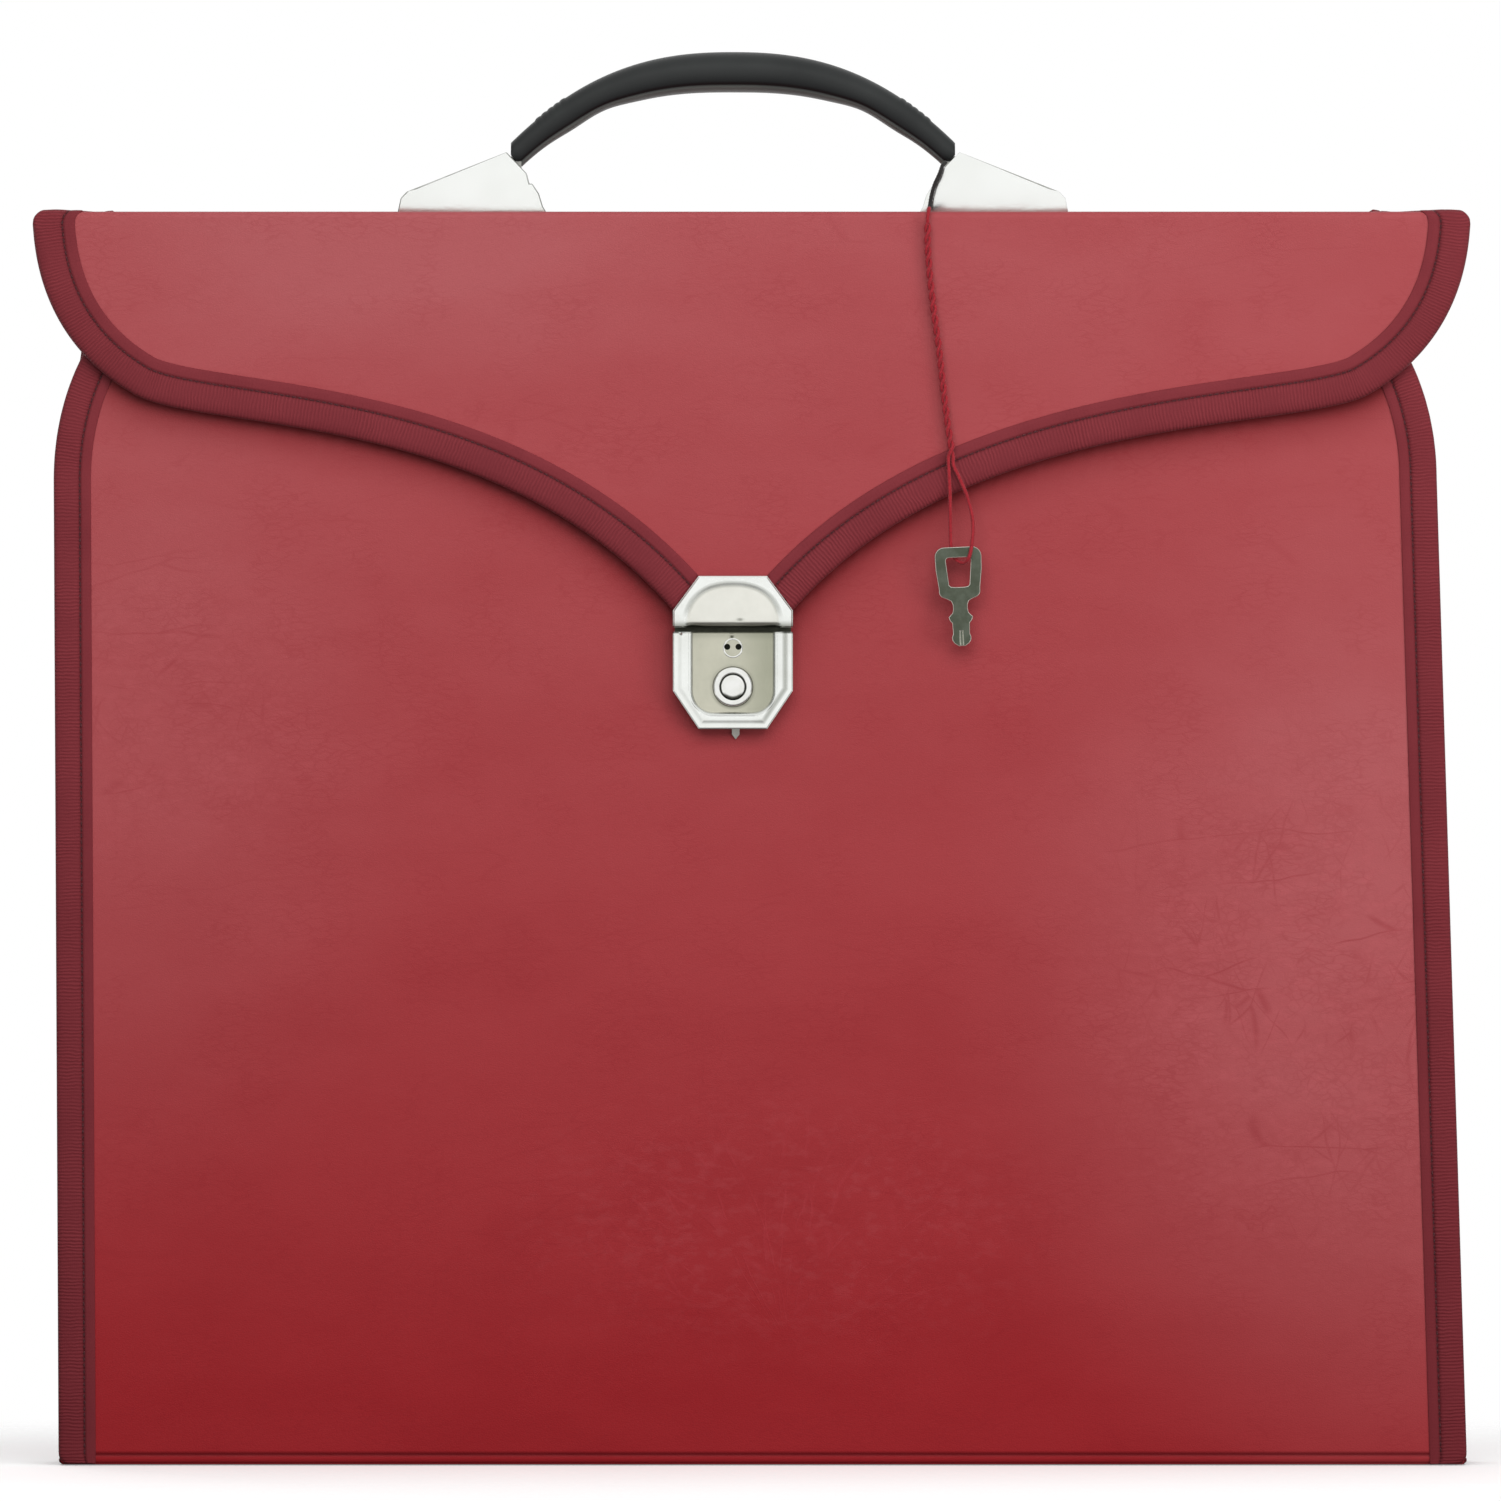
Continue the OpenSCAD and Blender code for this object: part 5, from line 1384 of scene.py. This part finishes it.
def button_material():
    """Bright nickel with painted shade down its holes and slots; the plug's face is satin."""
    g = Graph("nickel_button")
    slow = g.noise(240, 4, 0.6)
    fine = g.noise(2400, 4, 0.6)
    bright = g.tones(slow, (0.88, 0.885, 0.86), (0.80, 0.805, 0.76), high=0.75)
    satin = g.tones(slow, (0.56, 0.55, 0.455), (0.50, 0.495, 0.40), high=0.75)
    faced = g.mix(g.ramp(g.from_lock(PLUG_Z), 2.30, 2.45, 1.0, 0.0), bright, satin)
    # Painted shade: dark at the dome's lower edge and sides, and a grey line round the ring's outer edge
    ring = g.ramp(g.z, (PLUG_Z - 3.2) * MM, (PLUG_Z - 3.6) * MM)
    away = g.from_lock(BUTTON_Z)
    below = g.ramp(g.z, (BUTTON_Z - 1.4) * MM, (BUTTON_Z - 2.6) * MM)
    crescent = g.times(g.ramp(away, 2.45, 2.95), g.times(below, g.ramp(away, 3.9, 3.7)))
    sided = g.times(g.times(g.ramp(away, 3.15, 3.4), g.times(g.ramp(away, 3.9, 3.7), 0.6)), ring)
    rimmed = g.times(g.ramp(away, 5.35, 5.7), g.times(ring, 0.45))
    dome_and_ring_shade = g.mix(g.most(g.times(crescent, 0.9), g.most(sided, rimmed)), faced, (0.09, 0.095, 0.075))
    # Painted shade down the plug's holes and in the gap round the dome
    depth = g.ramp(g.minus(g.proud(), g.plus(g.times(ring, 1.05), 6.08)), 0.05, -0.12)
    return g.surface(g.mix(depth, dome_and_ring_shade, (0.012, 0.013, 0.010)), g.spread(fine, 0.15, 0.24),
                    g.bump(fine, 0.05, 0.00004), Metallic=1.0)


def bracket_material():
    """Clean nickel, darker over its lowest 2 mm, with painted grey reflections along its edges and creases.
    """
    g = Graph("nickel_bracket")
    fine = g.noise(2200, 4, 0.6, g.scaled(g.spot, (0.2, 1, 1)))
    face = g.tones(g.noise(60, 3, 0.5), (0.90, 0.915, 0.89), (0.86, 0.875, 0.845), high=0.75)
    foot = g.mix(g.ramp(g.z, (CASE_H + 2.2) * MM, (CASE_H + 0.2) * MM, 0.0, 0.35), face, (0.50, 0.50, 0.43))
    # Painted grey reflections on the bevels' thin faces
    edge = g.times(g.named("bevel_face"), g.ramp(g.noise(130, 3, 0.6), 0.25, 0.6, 0.55, 0.95))
    return g.surface(g.mix(edge, foot, (0.30, 0.305, 0.28)), g.spread(fine, 0.16, 0.26),
                    g.bump(fine, 0.05, 0.00004), Metallic=0.95)


def base_plate_material():
    """Dull steel, with painted shade in the gap between the two plates."""
    g = Graph("steel_base")
    fine = g.noise(900, 4, 0.6)
    tone = g.tones(g.noise(90, 4, 0.6), (0.40, 0.385, 0.35), (0.30, 0.29, 0.265), high=0.75)
    # Painted shade over the top 3 mm, seen through the gap
    dark = g.ramp(g.z, (LOCK_TOP - 3) * MM, (LOCK_TOP - 1.5) * MM)
    return g.surface(g.mix(dark, tone, (0.055, 0.057, 0.042)), g.spread(fine, 0.34, 0.48),
                    g.bump(fine, 0.12, 0.00005), Metallic=0.9)


def key_material():
    """Dark, dull faces, and bright nickel on the edges and bevels."""
    g = Graph("key_nickel")
    _, facing, _ = g.axes(g.coord.outputs["Normal"])
    slow = g.noise(260, 4, 0.6)
    fine = g.noise(2200, 4, 0.6, g.scaled(g.spot, (1, 1, 0.3)))
    face = g.ramp(g.plus(g.math("ABSOLUTE", facing), g.times(slow, 0.06)), 0.93, 1.0)
    dull = g.tones(slow, (0.078, 0.090, 0.064), (0.112, 0.128, 0.098), low=0.35)
    bright = g.tones(slow, (0.80, 0.80, 0.72), (0.62, 0.62, 0.54), low=0.35)
    return g.surface(g.mix(face, bright, dull), g.spread(fine, 0.28, 0.42), g.bump(fine, 0.10, 0.00005),
                    Metallic=0.9)


def grip_material():
    g = Graph("grip_black")
    slow = g.noise(40, 3, 0.55)
    fine = g.noise(1900, 3, 0.6)
    top = g.tones(slow, (0.0165, 0.0180, 0.0180), (0.0235, 0.0255, 0.0250))
    low = g.tones(slow, (0.088, 0.102, 0.096), (0.110, 0.124, 0.116))
    # Painted shade low on the front, and painted light on the underside
    side = g.mix(g.times(g.named("dim"), 0.90), top, (0.0030, 0.0034, 0.0038))
    return g.surface(g.mix(g.named("under"), side, low), g.spread(fine, 0.36, 0.48),
                    g.bump(fine, 0.12, 0.00006), Specular_IOR_Level=0.22)


def board_material():
    g = Graph("millboard_grey")
    fibre = g.noise(900, 5, 0.65, g.scaled(g.spot, (0.25, 1, 1)))
    tone = g.tones(fibre, (0.36, 0.30, 0.22), (0.50, 0.43, 0.33))
    return g.surface(g.mix(g.times(g.noise(30, 3, 0.5), 0.3), tone, (0.30, 0.25, 0.19)), 0.9,
                    g.bump(fibre, 0.35, 0.0001))


def lining_material():
    g = Graph("lining_black")
    bands = [g.made("TexWave", "Fac", {"Vector": g.spot, "Scale": 420, "Distortion": 0.6},
                    wave_type="BANDS", bands_direction=way) for way in ("X", "Z")]
    weave = g.times(*bands)
    tone = g.tones(g.noise(22, 3, 0.55), (0.030, 0.027, 0.030), (0.052, 0.047, 0.051))
    return g.surface(g.mix(g.times(weave, 0.35), tone, (0.085, 0.078, 0.082)), 0.82,
                    g.bump(weave, 0.25, 0.0001))


LEATHER = leather_material()
TAPE = tape_material()
CRIMSON = ((0.19, 0.006, 0.012), (0.36, 0.018, 0.028))
RED = thread_material("thread_crimson", *CRIMSON, 0.62)
BRIGHT = metal_material("nickel_bright", (0.80, 0.81, 0.79), (0.90, 0.91, 0.89), 0.12, 0.22)
STEEL = metal_material("steel_dull", (0.30, 0.30, 0.28), (0.42, 0.42, 0.39), 0.32, 0.46, 0.12)


def paint(obj, mat):
    if len(obj.data.materials) == 0:
        obj.data.materials.append(mat)
    for k in range(len(obj.data.materials)):
        obj.data.materials[k] = mat


for pieces, mat in (
    (leathers, LEATHER), (tapes, TAPE),
    (seams, thread_material("stitch_thread", (0.040, 0.0065, 0.009), (0.080, 0.012, 0.016), 0.65)),
    (metal_pieces[:2], lock_material()), (metal_pieces[2:], button_material()),
    (bracket_pieces, bracket_material()), ([base_plate], base_plate_material()),
    (hidden_steel[:1], BRIGHT), (hidden_steel[1:], STEEL), ([key_piece], key_material()),
    ([grip], grip_material()), ([red_cord], RED),
    ([dark_cord], thread_material("thread_black", (0.010, 0.009, 0.009), (0.030, 0.028, 0.027), 0.75,
                                  CRIMSON)),
):
    for piece in pieces:
        paint(piece, mat)

# The CAD nodes, by a word in their names
NODE_LOOKS = (("board", board_material()), ("lining", lining_material()), ("hasp_rivets", BRIGHT),
              ("binding", TAPE), ("tape", TAPE), ("cover", LEATHER), ("cloth", LEATHER),
              ("gusset", LEATHER), ("thread", RED))
for name, node in NODES.items():
    paint(node, next((mat for word, mat in NODE_LOOKS if word in name), STEEL))


# Where the threads go
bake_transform(dark_cord)
tuple(v * MM for v in dark_path[0])
path_length(dark_path) * MM
[tuple(v * MM for v in p) for p in dark_path]
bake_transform(red_cord)
tuple(v * MM for v in red_path[0])
path_length(red_path) * MM
[tuple(v * MM for v in p) for p in red_path]


# Floor, world and lights
def square(name, corners):
    mesh = bpy.data.meshes.new(name)
    mesh.from_pydata(corners, [], [(0, 1, 2, 3)])
    return link(bpy.data.objects.new(name, mesh))


def make_floor(half=3.0):
    """A pale floor that fades into the white surroundings away from the case."""
    floor = square("floor", [(-half, -half, 0), (half, -half, 0), (half, half, 0), (-half, half, 0)])
    floor.location.z = -0.0003
    g = Graph("floor_pale")
    pale = g.tones(g.noise(3, 3, 0.5), (0.93, 0.93, 0.93), (0.95, 0.95, 0.95))
    seen = g.node("LightPath").outputs["Is Camera Ray"]
    g.feed(g.shader.inputs["Base Color"], g.mix(seen, (0.17, 0.17, 0.17), pale))
    g.feed(g.shader.inputs["Roughness"], 0.9)
    g.feed(g.shader.inputs["Specular IOR Level"], 0.1)
    g.feed(g.shader.inputs["Emission Color"], (1.0, 1.0, 1.0))
    g.feed(g.shader.inputs["Emission Strength"], g.times(seen, 0.20))
    wide = g.most(g.minus(g.math("ABSOLUTE", g.x), 0.20), 0.0)
    clear = g.node("BsdfTransparent").outputs["BSDF"]
    both = g.made("MixShader", "Shader", {0: g.ramp(g.far(wide, g.y), 0.10, 0.42),
                                          1: g.shader.outputs["BSDF"], 2: clear})
    g.link(both, g.out.inputs["Surface"])
    paint(floor, g.mat)


def grey_card(name, x, grey=0.32):
    """A studio card that only reflections see: it draws the thin grey lines on bright metal."""
    card = square(name, [(x, -1.3, -0.5), (x, 1.3, -0.5), (x, 1.3, 2.2), (x, -1.3, 2.2)])
    g = Graph(name)
    tone = g.tones(g.noise(2, 2, 0.5), (grey, grey, grey), (grey * 0.8, grey * 0.82, grey * 0.78))
    for key, value in (("Base Color", (0.0, 0.0, 0.0)), ("Specular IOR Level", 0.0),
                       ("Emission Color", tone), ("Emission Strength", 1.0)):
        g.feed(g.shader.inputs[key], value)
    paint(card, g.mat)
    card.visible_camera = False
    card.visible_diffuse = False
    card.visible_shadow = False
    card.visible_transmission = False


def make_world(light=0.40):
    """White where it is seen, and a plain soft light elsewhere."""
    world = bpy.data.worlds.new("studio")
    bpy.context.scene.world = world
    world.use_nodes = True
    nodes, links = world.node_tree.nodes, world.node_tree.links
    nodes.clear()
    mix = nodes.new("ShaderNodeMixShader")
    for slot, strength in ((1, light), (2, 1.0)):
        sky = nodes.new("ShaderNodeBackground")
        sky.inputs["Color"].default_value = (1.0, 1.0, 1.0, 1.0)
        sky.inputs["Strength"].default_value = strength
        links.new(sky.outputs[0], mix.inputs[slot])
    path = nodes.new("ShaderNodeLightPath")
    seen = path.outputs["Is Camera Ray"]
    for kind in ("Is Glossy Ray", "Is Transmission Ray"):
        either = nodes.new("ShaderNodeMath")
        either.operation = "MAXIMUM"
        links.new(seen, either.inputs[0])
        links.new(path.outputs[kind], either.inputs[1])
        seen = either.outputs[0]
    links.new(seen, mix.inputs[0])
    links.new(mix.outputs[0], nodes.new("ShaderNodeOutputWorld").inputs["Surface"])


def area(name, at, aim, size, power):
    """A rectangular lamp; size is its width and height in metres."""
    data = bpy.data.lights.new(name, "AREA")
    data.energy = power
    data.shape = "RECTANGLE"
    data.size, data.size_y = size
    lamp = link(bpy.data.objects.new(name, data))
    lamp.visible_glossy = False
    lamp.location = at
    lamp.rotation_euler = (Vector(aim) - Vector(at)).to_track_quat("-Z", "Y").to_euler()


make_floor()
make_world()
grey_card("card_left", -2.4)
grey_card("card_right", 2.4)
area("key_high", (0.10, -1.35, 0.95), (0.0, 0.0, 0.22), (1.5, 0.9), 18.5)
area("fill_right", (1.35, -1.15, 0.30), (0.15, 0.0, 0.12), (0.7, 0.8), 9.2)
area("back_soft", (-0.3, 1.5, 1.4), (0.0, 0.0, 0.2), (1.2, 1.0), 10.0)
bpy.context.scene.view_settings.view_transform = "Standard"
